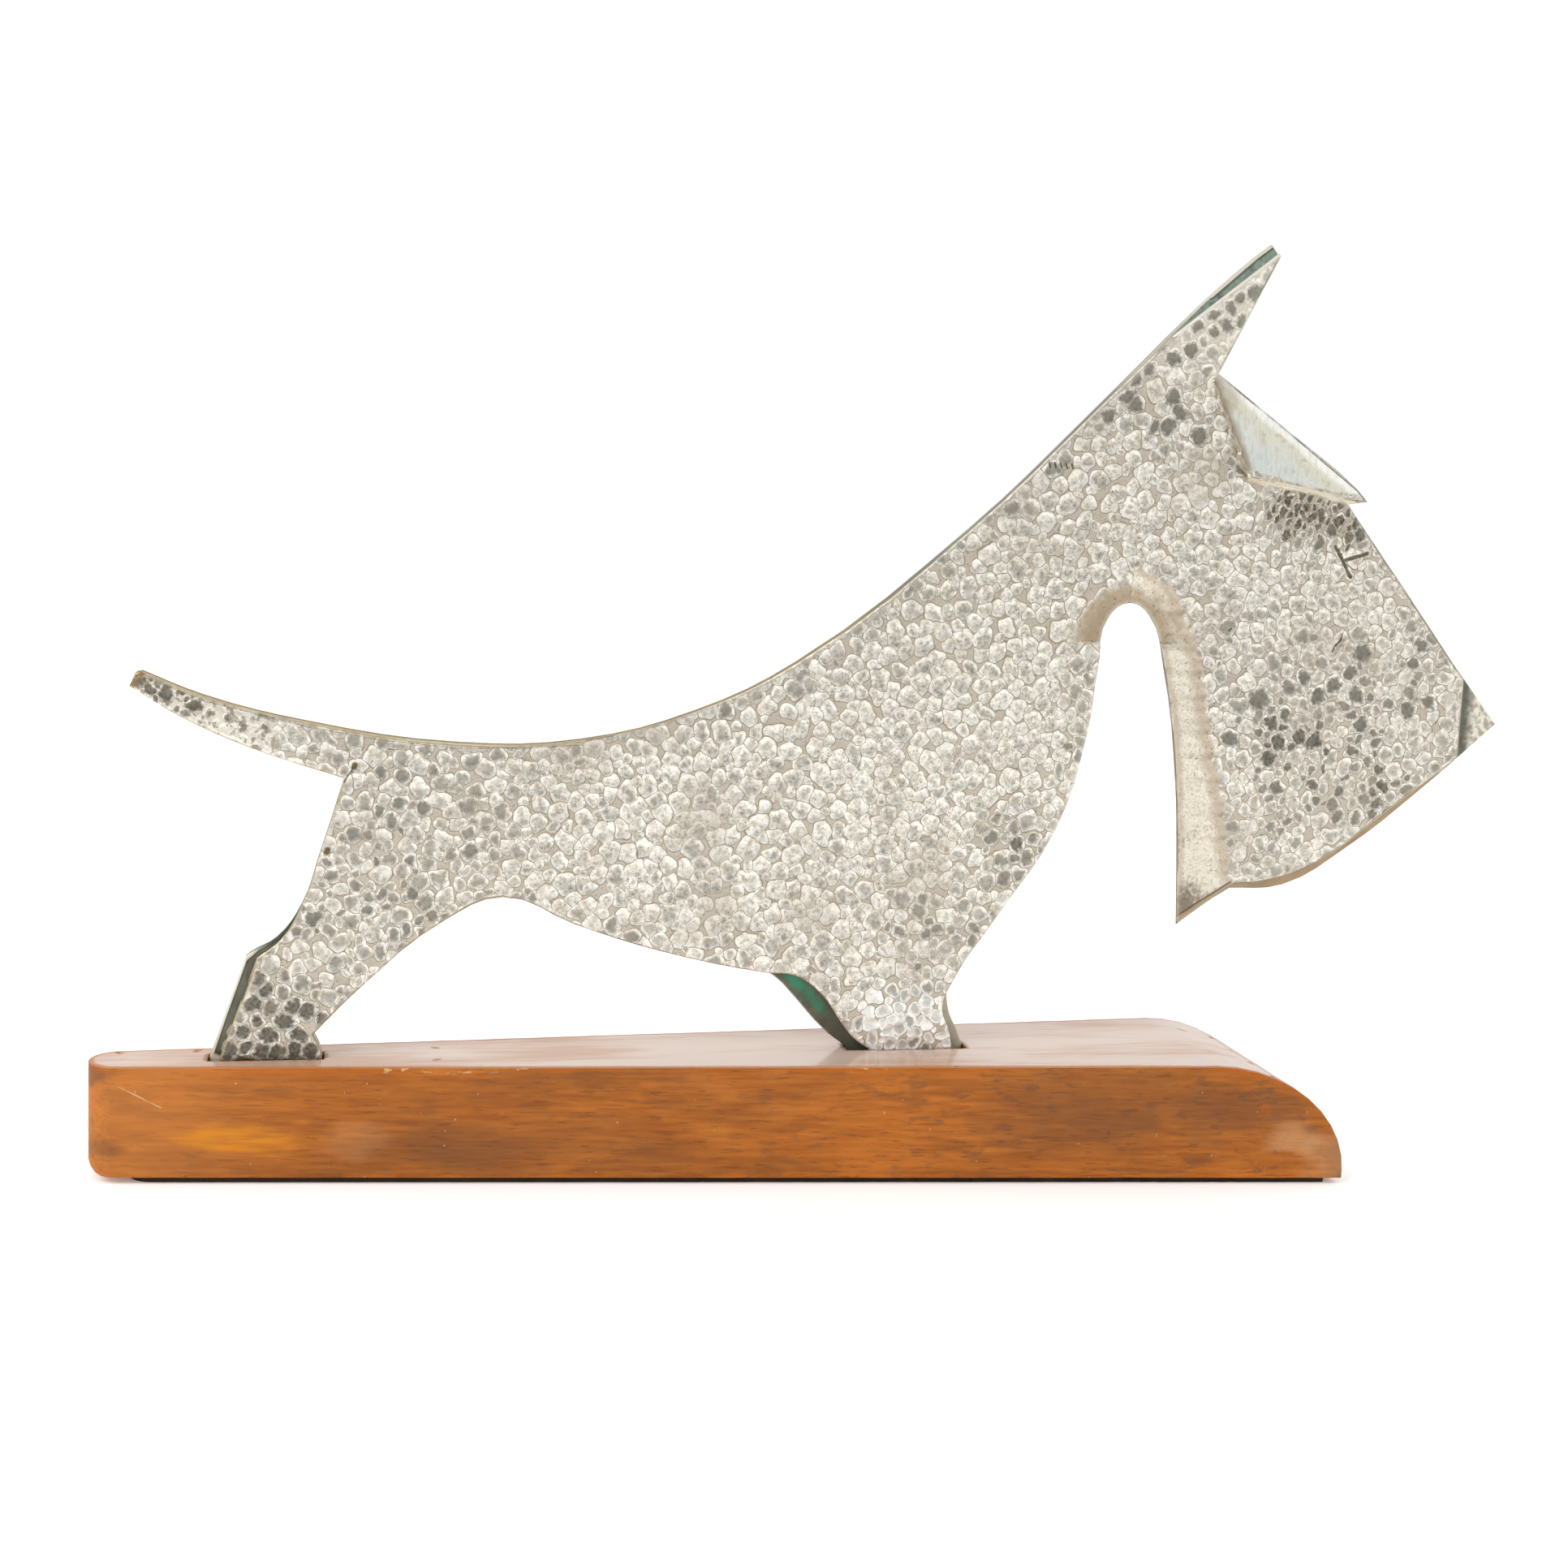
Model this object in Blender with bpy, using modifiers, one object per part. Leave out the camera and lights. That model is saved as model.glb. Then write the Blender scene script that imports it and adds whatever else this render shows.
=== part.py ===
"""A stylised terrier of two hammered metal sheets, standing on a tapered wooden base.

Metres, +Z up. The dog faces +X. The origin is the middle of the underside.
"""
import math

import bmesh
import bpy
from mathutils import Matrix, Vector

# Base: plan taper, side profile and edges
BASE_LENGTH = 0.300
BASE_TAIL_WIDTH = 0.0135
BASE_HEAD_WIDTH = 0.052
BASE_TAIL_HEIGHT = 0.0258
BASE_HEAD_HEIGHT = 0.0286
BULLNOSE_REACH = 0.034
BULLNOSE_FULLNESS = 1.93
BULLNOSE_FOOT = 0.002
TAIL_CORNER_RADIUS = 0.0045
BASE_EDGE_RADIUS = 0.0012

# Felt pad under the base
FELT_THICKNESS = 0.0012
FELT_SIDE_INSET = 0.0015
FELT_TAIL_INSET = 0.009
FELT_HEAD_INSET = 0.004

# Metal sheets
DOG_LENGTH = 0.338
TAIL_SETBACK = 0.0084
SHEET_THICKNESS = 0.0020
EDGE_BEVEL = 0.0003
EAR_SPLAY = 0.0024
LEG_SPLAY = 0.0007
BROW_HEIGHT = 0.0019

# Fits
CONTACT_GAP = 0.0003
FOOT_DEPTH = 0.003
FOOT_SLOT_CLEARANCE = 0.0004

# Fineness of the modelled surfaces
CURVE_STEPS = 4
BULLNOSE_STEPS = 10
EDGE_STEPS = 2
ARC_STEP_DEGREES = 15
BEND_STEP = 0.013

# Smallest differences that count while modelling
SAME_POINT = 0.00001
SAME_PLANE = 0.000005
STRAIGHT_DEGREES = 0.5
SHARP_EDGE_DEGREES = 40

NEAR = -1
FAR = 1

WOOD_BOTTOM = FELT_THICKNESS + CONTACT_GAP
TAIL_END_X = -BASE_LENGTH / 2
HEAD_END_X = BASE_LENGTH / 2


def wood_top(x):
    """Height of the base's sloping top above the ground at x."""
    along = (x - TAIL_END_X) / BASE_LENGTH
    rise = BASE_HEAD_HEIGHT - BASE_TAIL_HEIGHT
    return WOOD_BOTTOM + BASE_TAIL_HEIGHT + rise * along


# The drawing of the dog: places are shares of its length, from the tail tip
# and from the wood under the hind foot. A corner is sharp, the rest is smooth.
CORNER = True
SMOOTH = False

TAIL_AND_BACK = [
    (0.0005, 0.2530, CORNER), (0.0045, 0.2622, CORNER), (0.0080, 0.2630, CORNER),
    (0.047, 0.248, SMOOTH), (0.115, 0.2322, SMOOTH), (0.215, 0.2202, SMOOTH),
    (0.300, 0.2245, SMOOTH), (0.379, 0.2465, SMOOTH), (0.450, 0.283, SMOOTH),
    (0.574, 0.3845, SMOOTH), (0.652, 0.463, SMOOTH), (0.712, 0.5260, CORNER),
]
NEAR_EAR = [(0.7855, 0.5875, CORNER), (0.7870, 0.5860, CORNER)]
FAR_EAR = [
    (0.7430, 0.5570, SMOOTH), (0.7765, 0.5870, SMOOTH), (0.7885, 0.5965, CORNER), (0.7945, 0.5895, CORNER),
]
BROW = [
    (0.7490, 0.5015, CORNER), (0.8035, 0.4660, SMOOTH), (0.8645, 0.4252, SMOOTH), (0.8740, 0.4160, CORNER),
]
FACE = [(0.8585, 0.4135, CORNER)]
NEAR_NOSE = [(0.9655, 0.2875, CORNER), (0.9665, 0.2280, CORNER)]
FAR_NOSE = [(1.0000, 0.2535, CORNER)]
NEAR_BEARD_UNDER = [
    (0.9070, 0.1825, SMOOTH), (0.8570, 0.1455, SMOOTH), (0.8180, 0.1315, SMOOTH), (0.7920, 0.1285, CORNER),
]
FAR_BEARD_UNDER = [
    (0.9400, 0.2000, SMOOTH), (0.8860, 0.1570, SMOOTH), (0.8350, 0.1272, SMOOTH), (0.7920, 0.1240, CORNER),
]
NEAR_BEARD_REAR = [
    (0.7500, 0.0970, CORNER), (0.7463, 0.1500, SMOOTH), (0.7410, 0.2038, SMOOTH), (0.7250, 0.2880, SMOOTH),
    (0.7110, 0.3260, SMOOTH),
]
FAR_BEARD_REAR = [
    (0.7530, 0.1000, CORNER), (0.7503, 0.1500, SMOOTH), (0.7450, 0.2040, SMOOTH), (0.7290, 0.2890, SMOOTH),
    (0.7130, 0.3290, SMOOTH),
]
ARCH = [(0.6950, 0.3345, SMOOTH), (0.6795, 0.3245, SMOOTH), (0.6728, 0.2850, SMOOTH)]
CHEST = [
    (0.6680, 0.2380, SMOOTH), (0.6490, 0.1675, SMOOTH), (0.6080, 0.1020, SMOOTH), (0.5770, 0.0530, SMOOTH),
]
NEAR_FORE_TOE = [(0.5705, 0.0335, SMOOTH), (0.5770, 0.0160, SMOOTH)]
FAR_FORE_TOE = [(0.5775, 0.0330, SMOOTH), (0.5860, 0.0140, SMOOTH)]
NEAR_FORE_HEEL = [
    (0.5055, 0.0115, SMOOTH), (0.4973, 0.0205, SMOOTH), (0.4780, 0.0460, SMOOTH), (0.4590, 0.0582, SMOOTH),
]
FAR_FORE_HEEL = [(0.4835, 0.0170, SMOOTH), (0.4596, 0.0424, SMOOTH), (0.4480, 0.0540, SMOOTH)]
BELLY = [
    (0.4380, 0.0602, SMOOTH), (0.3620, 0.0755, SMOOTH), (0.3000, 0.0945, SMOOTH),
    (0.2490, 0.1137, SMOOTH), (0.2080, 0.0960, SMOOTH), (0.1560, 0.0520, SMOOTH),
]
HIND_TOE = [(0.1220, 0.0167, CORNER), (0.1265, 0.0090, SMOOTH)]
NEAR_HOCK = [(0.0845, 0.0705, CORNER), (0.1000, 0.0830, SMOOTH)]
FAR_HOCK = [(0.0770, 0.0700, CORNER), (0.0800, 0.0727, SMOOTH), (0.0970, 0.0830, SMOOTH)]
RUMP = [(0.1130, 0.1060, SMOOTH), (0.1240, 0.1400, SMOOTH), (0.1400, 0.1945, CORNER)]
TAIL_UNDER = [(0.0790, 0.2135, SMOOTH), (0.0327, 0.2337, SMOOTH)]

# Where each foot enters the wood, rear and front, on the near and the far sheet
HIND_FOOT = {NEAR: (0.0605, 0.1290), FAR: (0.0540, 0.1290)}
FORE_FOOT = {NEAR: (0.5165, 0.5790), FAR: (0.5010, 0.5900)}

# Where the sheets part, and the smooth raised brow at the head, as shares too
EAR_FOLD = 0.500
EAR_TIP = 0.597
LEG_FOLD = 0.075
BROW_REAR = (0.7440, 0.4960)
BROW_PEAK = (0.7765, 0.4290)
BROW_FRONT = (0.8600, 0.4165)
BROW_TOP = [(0.7490, 0.5002), (0.8035, 0.4648), (0.8640, 0.4243), (0.8728, 0.4163)]

# Soft forms of the outer face: middle, reach along and up, height in metres
FORMS = (
    ((0.860, 0.270), (0.150, 0.170), 0.0011),
    ((0.695, 0.400), (0.050, 0.075), -0.0006),
    ((0.560, 0.270), (0.140, 0.160), 0.0007),
    ((0.210, 0.165), (0.110, 0.090), 0.0006),
)

DOG_TAIL_X = TAIL_END_X + TAIL_SETBACK
HIND_FOOT_MIDDLE = sum(HIND_FOOT[NEAR]) / 2


def dog_x(along):
    return DOG_TAIL_X + along * DOG_LENGTH


FOOT_LINE = wood_top(dog_x(HIND_FOOT_MIDDLE))


def dog_z(up):
    return FOOT_LINE + up * DOG_LENGTH


def clear_scene():
    for scene_object in list(bpy.data.objects):
        bpy.data.objects.remove(scene_object, do_unlink=True)


def new_collection(name):
    collection = bpy.data.collections.new(name)
    bpy.context.scene.collection.children.link(collection)
    return collection


def make_material(name, colour, roughness, metallic):
    material = bpy.data.materials.new(name)
    material.use_nodes = True
    shader = material.node_tree.nodes["Principled BSDF"]
    shader.inputs["Base Color"].default_value = (*colour, 1)
    shader.inputs["Roughness"].default_value = roughness
    shader.inputs["Metallic"].default_value = metallic
    material.diffuse_color = (*colour, 1)
    return material


def flat_outline(points, thickness):
    """Mesh of a closed outline, filled and thickened about its own plane."""
    curve = bpy.data.curves.new("outline", "CURVE")
    curve.dimensions = "2D"
    curve.fill_mode = "BOTH"
    curve.extrude = thickness / 2
    curve.resolution_u = CURVE_STEPS
    spline = curve.splines.new("BEZIER")
    spline.bezier_points.add(len(points) - 1)
    for knot, (across, up, corner) in zip(spline.bezier_points, points):
        knot.co = (across, up, 0)
        knot.handle_left_type = "VECTOR" if corner else "AUTO"
        knot.handle_right_type = "VECTOR" if corner else "AUTO"
    spline.use_cyclic_u = True
    drawn = bpy.data.objects.new("outline", curve)
    bpy.context.scene.collection.objects.link(drawn)
    bpy.context.view_layer.update()
    evaluated = drawn.evaluated_get(bpy.context.evaluated_depsgraph_get())
    mesh = bpy.data.meshes.new_from_object(evaluated)
    bpy.data.objects.remove(drawn, do_unlink=True)
    bpy.data.curves.remove(curve)
    bm = bmesh.new()
    bm.from_mesh(mesh)
    bmesh.ops.remove_doubles(bm, verts=bm.verts, dist=SAME_POINT)
    bmesh.ops.dissolve_limit(bm, angle_limit=math.radians(STRAIGHT_DEGREES), verts=bm.verts, edges=bm.edges)
    bmesh.ops.recalc_face_normals(bm, faces=bm.faces)
    bm.to_mesh(mesh)
    bm.free()
    return mesh


def place(name, mesh, collection, material):
    placed = bpy.data.objects.new(name, mesh)
    collection.objects.link(placed)
    if material:
        mesh.materials.clear()
        mesh.materials.append(material)
    return placed


def make_cutter(name, mesh, collection):
    cutter = place(name, mesh, collection, None)
    cutter.hide_render = True
    cutter.display_type = "WIRE"
    return cutter


def stand_up(mesh):
    """Turn a drawing made in the XY plane so that its up is world Z."""
    mesh.transform(Matrix.Rotation(math.radians(90), 4, "X"))


def add_boolean(target, operation, cutter):
    cut = target.modifiers.new(cutter.name, "BOOLEAN")
    cut.operation = operation
    cut.solver = "EXACT"
    cut.object = cutter


def buried_foot(rear, front):
    """The end of a foot, from its toe down into the wood and up again at its heel."""
    floor = wood_top(dog_x((rear + front) / 2)) - FOOT_DEPTH
    toe = [(dog_x(front), wood_top(dog_x(front)), CORNER), (dog_x(front), floor, CORNER)]
    heel = [(dog_x(rear), floor, CORNER), (dog_x(rear), wood_top(dog_x(rear)), CORNER)]
    return toe + heel


def dog_outline(side):
    """The whole outline of one sheet, once round from the tail tip."""
    def drawn(*stretches):
        return [(dog_x(along), dog_z(up), corner) for stretch in stretches for along, up, corner in stretch]

    if side == NEAR:
        head = drawn(TAIL_AND_BACK, NEAR_EAR, BROW, FACE, NEAR_NOSE, NEAR_BEARD_UNDER)
        beard, toe, heel, hock = NEAR_BEARD_REAR, NEAR_FORE_TOE, NEAR_FORE_HEEL, NEAR_HOCK
    else:
        head = drawn(TAIL_AND_BACK, FAR_EAR, BROW, FACE, FAR_NOSE, FAR_BEARD_UNDER)
        beard, toe, heel, hock = FAR_BEARD_REAR, FAR_FORE_TOE, FAR_FORE_HEEL, FAR_HOCK
    front = drawn(beard, ARCH, CHEST, toe)
    middle = drawn(heel, BELLY, HIND_TOE)
    rear = drawn(hock, RUMP, TAIL_UNDER)
    return head + front + buried_foot(*FORE_FOOT[side]) + middle + buried_foot(*HIND_FOOT[side]) + rear


def smooth_step(share):
    share = min(max(share, 0.0), 1.0)
    return share * share * (3 - 2 * share)


def splay_at(along, up):
    """How far a sheet leans away from the other at the ear and the legs."""
    ear = max(up - EAR_FOLD, 0.0) / (EAR_TIP - EAR_FOLD)
    leg = 0.0
    if along < FORE_FOOT[FAR][1]:
        leg = smooth_step((LEG_FOLD - up) / LEG_FOLD)
    return EAR_SPLAY * ear + LEG_SPLAY * leg


def form_at(along, up):
    """Soft rise or fall of the outer face, from the list of forms."""
    total = 0.0
    for (middle_along, middle_up), (reach_along, reach_up), height in FORMS:
        distance = math.hypot((along - middle_along) / reach_along, (up - middle_up) / reach_up)
        total += height * smooth_step(1 - distance)
    return total


def cut_grid(bm, axis, step):
    """Cut the sheet into strips, so that it can bend between them."""
    places = [vertex.co[axis] for vertex in bm.verts]
    lowest, highest = min(places), max(places)
    strips = math.ceil((highest - lowest) / step)
    normal = Vector((0, 0, 0))
    normal[axis] = 1
    for index in range(1, strips):
        point = Vector((0, 0, 0))
        point[axis] = lowest + (highest - lowest) * index / strips
        everything = bm.verts[:] + bm.edges[:] + bm.faces[:]
        bmesh.ops.bisect_plane(bm, geom=everything, dist=SAME_PLANE, plane_co=point, plane_no=normal)


def make_sheet_mesh(side):
    """One flat sheet with bevelled rims, cut to strips, then bent and swelled."""
    mesh = flat_outline(dog_outline(side), SHEET_THICKNESS)
    stand_up(mesh)
    middle_y = side * (SHEET_THICKNESS + CONTACT_GAP) / 2
    bm = bmesh.new()
    bm.from_mesh(mesh)
    rims = [edge for edge in bm.edges if abs(edge.verts[0].co.y - edge.verts[1].co.y) < SAME_POINT]
    bmesh.ops.bevel(bm, geom=rims, offset=EDGE_BEVEL, segments=1, affect="EDGES")
    cut_grid(bm, 0, BEND_STEP)
    cut_grid(bm, 2, BEND_STEP)
    for vertex in bm.verts:
        along = (vertex.co.x - DOG_TAIL_X) / DOG_LENGTH
        up = (vertex.co.z - FOOT_LINE) / DOG_LENGTH
        outward = splay_at(along, up)
        if vertex.co.y * side > 0:
            outward += form_at(along, up)
        vertex.co.y += middle_y + side * outward
    bm.to_mesh(mesh)
    bm.free()
    return mesh


def make_brow_mesh(side):
    """The smooth raised facet over the eye: thickest at its rear lower corner."""
    corners = [BROW_REAR] + BROW_TOP + [BROW_FRONT, BROW_PEAK]
    points = [(dog_x(along), dog_z(up), CORNER) for along, up in corners]
    mesh = flat_outline(points, SHEET_THICKNESS)
    stand_up(mesh)
    outer_y = CONTACT_GAP / 2 + SHEET_THICKNESS
    peak = Vector((dog_x(BROW_PEAK[0]), dog_z(BROW_PEAK[1])))
    edge_start = Vector((dog_x(BROW[0][0]), dog_z(BROW[0][1])))
    edge_end = Vector((dog_x(BROW[2][0]), dog_z(BROW[2][1])))
    edge = (edge_end - edge_start).normalized()

    def edge_distance(x, z):
        offset = Vector((x, z)) - edge_start
        return abs(edge.x * offset.y - edge.y * offset.x)

    full = edge_distance(*peak)
    for vertex in mesh.vertices:
        x, y, z = vertex.co
        rise = BROW_HEIGHT * edge_distance(x, z) / full + EDGE_BEVEL / 2
        if y * side > 0:
            vertex.co.y = side * (outer_y + rise)
        else:
            vertex.co.y = side * (outer_y - SHEET_THICKNESS / 2)
    mesh.update()
    return mesh


def add_dog(collection, cutters, metal):
    for side, name in ((NEAR, "dog_right_side"), (FAR, "dog_left_side")):
        sheet = place(name, make_sheet_mesh(side), collection, metal)
        brow = make_cutter(name + "_brow_form", make_brow_mesh(side), cutters)
        add_boolean(sheet, "UNION", brow)
        triangles = sheet.modifiers.new("triangles", "TRIANGULATE")
        triangles.min_vertices = 4


def base_plan(side_inset, tail_inset, head_inset):
    """Plan of the base: narrow round tail end, straight tapered sides, square head end."""
    tail_x = TAIL_END_X + tail_inset
    head_x = HEAD_END_X - head_inset

    def half_width(x):
        share = (x - TAIL_END_X) / BASE_LENGTH
        return (BASE_TAIL_WIDTH + (BASE_HEAD_WIDTH - BASE_TAIL_WIDTH) * share) / 2 - side_inset

    radius = half_width(tail_x + half_width(tail_x))
    turns = [math.radians(angle) for angle in range(90, 271, ARC_STEP_DEGREES)]
    centre_x = tail_x + radius
    tail = [(centre_x + radius * math.cos(turn), radius * math.sin(turn), CORNER) for turn in turns]
    head = half_width(head_x)
    return tail + [(head_x, -head, CORNER), (head_x, head, CORNER)]


def base_profile():
    """Side view of the base: sloping top that rolls over into a bullnose."""
    bullnose_start = HEAD_END_X - BULLNOSE_REACH
    foot_top = WOOD_BOTTOM + BULLNOSE_FOOT
    nose_height = wood_top(bullnose_start) - foot_top
    points = []
    for angle in range(270, 179, -ARC_STEP_DEGREES):
        turn = math.radians(angle)
        across = TAIL_END_X + TAIL_CORNER_RADIUS * (1 + math.cos(turn))
        points.append((across, WOOD_BOTTOM + TAIL_CORNER_RADIUS * (1 + math.sin(turn)), CORNER))
    points.append((TAIL_END_X, wood_top(TAIL_END_X), CORNER))
    for index in range(BULLNOSE_STEPS + 1):
        turn = math.radians(90) * index / BULLNOSE_STEPS
        forward = math.sin(turn) ** (2 / BULLNOSE_FULLNESS)
        upward = math.cos(turn) ** (2 / BULLNOSE_FULLNESS) if index < BULLNOSE_STEPS else 0
        points.append((bullnose_start + BULLNOSE_REACH * forward, foot_top + nose_height * upward, CORNER))
    points.append((HEAD_END_X, WOOD_BOTTOM, CORNER))
    return points


def slot_mesh(rear, front):
    """Pocket for a pair of feet, wider than both sheets by the clearance."""
    half_width = CONTACT_GAP / 2 + SHEET_THICKNESS + LEG_SPLAY + FOOT_SLOT_CLEARANCE
    low_x = dog_x(rear) - FOOT_SLOT_CLEARANCE
    high_x = dog_x(front) + FOOT_SLOT_CLEARANCE
    top = wood_top(high_x) + FOOT_DEPTH
    floor = wood_top((low_x + high_x) / 2) - FOOT_DEPTH - CONTACT_GAP
    mesh = bpy.data.meshes.new("slot")
    bm = bmesh.new()
    size = Matrix.Diagonal((high_x - low_x, 2 * half_width, top - floor, 1))
    centre = Matrix.Translation(((low_x + high_x) / 2, 0, (top + floor) / 2))
    bmesh.ops.create_cube(bm, size=1, matrix=centre @ size)
    bm.to_mesh(mesh)
    bm.free()
    return mesh


def add_base(collection, cutters, wood):
    profile = flat_outline(base_profile(), 2 * BASE_HEAD_WIDTH)
    stand_up(profile)
    plan = flat_outline(base_plan(0, 0, 0), 4 * BASE_HEAD_HEIGHT)
    base = place("wooden_base", profile, collection, wood)
    add_boolean(base, "INTERSECT", make_cutter("base_plan_form", plan, cutters))
    rounding = base.modifiers.new("edges", "BEVEL")
    rounding.width = BASE_EDGE_RADIUS
    rounding.segments = EDGE_STEPS
    rounding.limit_method = "ANGLE"
    rounding.angle_limit = math.radians(SHARP_EDGE_DEGREES)
    for name, foot in (("hind_slot_form", HIND_FOOT), ("fore_slot_form", FORE_FOOT)):
        slot = slot_mesh(min(foot[NEAR][0], foot[FAR][0]), max(foot[NEAR][1], foot[FAR][1]))
        add_boolean(base, "DIFFERENCE", make_cutter(name, slot, cutters))
    triangles = base.modifiers.new("triangles", "TRIANGULATE")
    triangles.min_vertices = 4


def add_felt(collection, felt):
    plan = base_plan(FELT_SIDE_INSET, FELT_TAIL_INSET, FELT_HEAD_INSET)
    mesh = flat_outline(plan, FELT_THICKNESS)
    mesh.transform(Matrix.Translation((0, 0, FELT_THICKNESS / 2)))
    place("felt_pad", mesh, collection, felt)


def main():
    clear_scene()
    collection = new_collection("terrier_on_base")
    cutters = new_collection("cutting_forms")
    metal = make_material("silvered_metal", (0.62, 0.60, 0.56), 0.38, 1.0)
    wood = make_material("varnished_wood", (0.42, 0.17, 0.05), 0.35, 0.0)
    felt = make_material("dark_felt", (0.03, 0.02, 0.015), 0.95, 0.0)
    add_felt(collection, felt)
    add_base(collection, cutters, wood)
    add_dog(collection, cutters, metal)


main()
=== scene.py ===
# %% [markdown]
# # A hammered terrier on a wooden base
# The ornament is two metal sheets, sawn to the same dog and hammered all over. They are
# soldered back to back and stand in a tapered board with felt beneath. The solid model
# gives every size. This lesson gives the pieces their hammer marks, tarnish, wood and felt.

# %% Load the solid model
import math

import bmesh
import bpy
import numpy as np
from mathutils import Matrix, Vector, kdtree
from mathutils import noise as turbulence


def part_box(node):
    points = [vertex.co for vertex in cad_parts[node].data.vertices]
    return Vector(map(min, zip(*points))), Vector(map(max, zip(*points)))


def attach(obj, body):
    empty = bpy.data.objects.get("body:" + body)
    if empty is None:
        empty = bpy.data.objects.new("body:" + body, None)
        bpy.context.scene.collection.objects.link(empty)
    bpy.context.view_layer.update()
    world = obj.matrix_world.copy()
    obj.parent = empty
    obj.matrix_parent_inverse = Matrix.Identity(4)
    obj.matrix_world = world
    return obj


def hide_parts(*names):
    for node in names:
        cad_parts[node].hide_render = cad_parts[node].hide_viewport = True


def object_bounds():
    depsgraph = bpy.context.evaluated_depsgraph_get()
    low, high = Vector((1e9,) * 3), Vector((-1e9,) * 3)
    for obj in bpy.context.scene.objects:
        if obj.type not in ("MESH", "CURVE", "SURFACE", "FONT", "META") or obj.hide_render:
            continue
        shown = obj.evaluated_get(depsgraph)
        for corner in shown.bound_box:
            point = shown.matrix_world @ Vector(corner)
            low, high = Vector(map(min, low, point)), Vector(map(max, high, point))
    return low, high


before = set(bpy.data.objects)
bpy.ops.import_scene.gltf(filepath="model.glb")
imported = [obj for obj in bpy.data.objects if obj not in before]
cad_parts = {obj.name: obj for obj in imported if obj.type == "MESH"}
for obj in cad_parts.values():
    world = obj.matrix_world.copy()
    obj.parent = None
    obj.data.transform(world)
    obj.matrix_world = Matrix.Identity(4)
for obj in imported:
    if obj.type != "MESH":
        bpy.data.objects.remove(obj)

cad_low, cad_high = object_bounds()
print("solid model, in metres:", tuple(round(side, 4) for side in cad_high - cad_low))

# %% [markdown]
# ## Places on the dog
# The dog was drawn with shares of its own length, so the marks and facets are placed
# in the same way: along from the tail tip, and up from the line where its feet meet
# the wood. A share turns to metres with the box of the larger, left sheet.

# %% Shares of the dog's length
MM = 0.001
FOOT_DEPTH = 3 * MM
dog_low, dog_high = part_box("dog_left_side")
DOG_LENGTH = dog_high.x - dog_low.x
FOOT_LINE = dog_low.z + FOOT_DEPTH


def spot(along, up):
    """Place in metres, seen from the side, of a place given as shares."""
    return np.array([dog_low.x + along * DOG_LENGTH, FOOT_LINE + up * DOG_LENGTH])


def chain(*places):
    """The straight strokes that join some places, one after another."""
    return list(zip(places, places[1:]))


print("dog length:", round(DOG_LENGTH, 4), "foot line:", round(FOOT_LINE, 4))

# %% [markdown]
# ## Camera
# The picture is taken from the dog's right, a little behind it and a little above,
# and the camera leans by three degrees. The image is taken as 1932 pixels square, and
# a focal length in pixels gives the lens for a 36 mm sensor.

# %% Camera
IMAGE_SIZE = 1932
FOCAL_PIXELS = 2500
SENSOR = 36
CAMERA_SPOT = Vector((-0.0948, -0.4717, 0.1591))
CAMERA_TURN = math.radians(12.4)
CAMERA_DOWN = math.radians(7.68)
CAMERA_LEAN = math.radians(2.87)

camera_data = bpy.data.cameras.new("camera")
camera_data.sensor_width = SENSOR
camera_data.lens = FOCAL_PIXELS / IMAGE_SIZE * SENSOR
camera = bpy.data.objects.new("camera", camera_data)
bpy.context.scene.collection.objects.link(camera)
turn = Matrix.Rotation(-CAMERA_TURN, 4, "Z")
tilt = Matrix.Rotation(math.radians(90) - CAMERA_DOWN, 4, "X")
lean = Matrix.Rotation(CAMERA_LEAN, 4, "Z")
camera.matrix_world = Matrix.Translation(CAMERA_SPOT) @ turn @ tilt @ lean
bpy.context.scene.camera = camera
bpy.context.scene.view_settings.view_transform = "Standard"
print("lens:", round(camera_data.lens, 1), "mm")

# %% [markdown]
# ## Shader maths as Python
# A material is a small calculation for every point of a surface. This class wraps one
# socket, so that the calculation reads as arithmetic. Each operator adds a Math node,
# and the node method adds any other node.

# %% A socket that can be calculated with
class Wire:
    """One output socket of a shader node."""

    def __init__(self, tree, output=None):
        self.tree = tree
        self.output = output

    def node(self, kind, settings=None, values=None, out=0):
        """Add a node, set it up, feed its inputs and return one output."""
        node = self.tree.nodes.new(kind)
        for name, value in (settings or {}).items():
            setattr(node, name, value)
        for name, value in (values or {}).items():
            if isinstance(value, Wire):
                self.tree.links.new(value.output, node.inputs[name])
            else:
                node.inputs[name].default_value = value
        return Wire(self.tree, node.outputs[out])

    def maths(self, operation, *values):
        return self.node("ShaderNodeMath", {"operation": operation}, dict(enumerate(values)))

    def __add__(self, other):
        return self.maths("ADD", self, other)

    def __sub__(self, other):
        return self.maths("SUBTRACT", self, other)

    def __rsub__(self, other):
        return self.maths("SUBTRACT", other, self)

    def size(self):
        return self.maths("ABSOLUTE", self)

    def __mul__(self, other):
        return self.maths("MULTIPLY", self, other)

    def __truediv__(self, other):
        return self.maths("DIVIDE", self, other)

    def __pow__(self, other):
        return self.maths("POWER", self, other)

    def most(self, other):
        return self.maths("MAXIMUM", self, other)

    def least(self, other):
        return self.maths("MINIMUM", self, other)

    __radd__ = __add__
    __rmul__ = __mul__


print("sockets can now be added, multiplied and compared")

# %% [markdown]
# The same few steps come back in each finish: a colour as it looks on a screen, a
# smooth step between two values, a mix of two colours, coats laid over one another, and
# cloudy noise that may be stretched along the grain. A colour that is mixed or laid as a
# coat is a calculated one or three numbers from 0 to 255.

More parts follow.
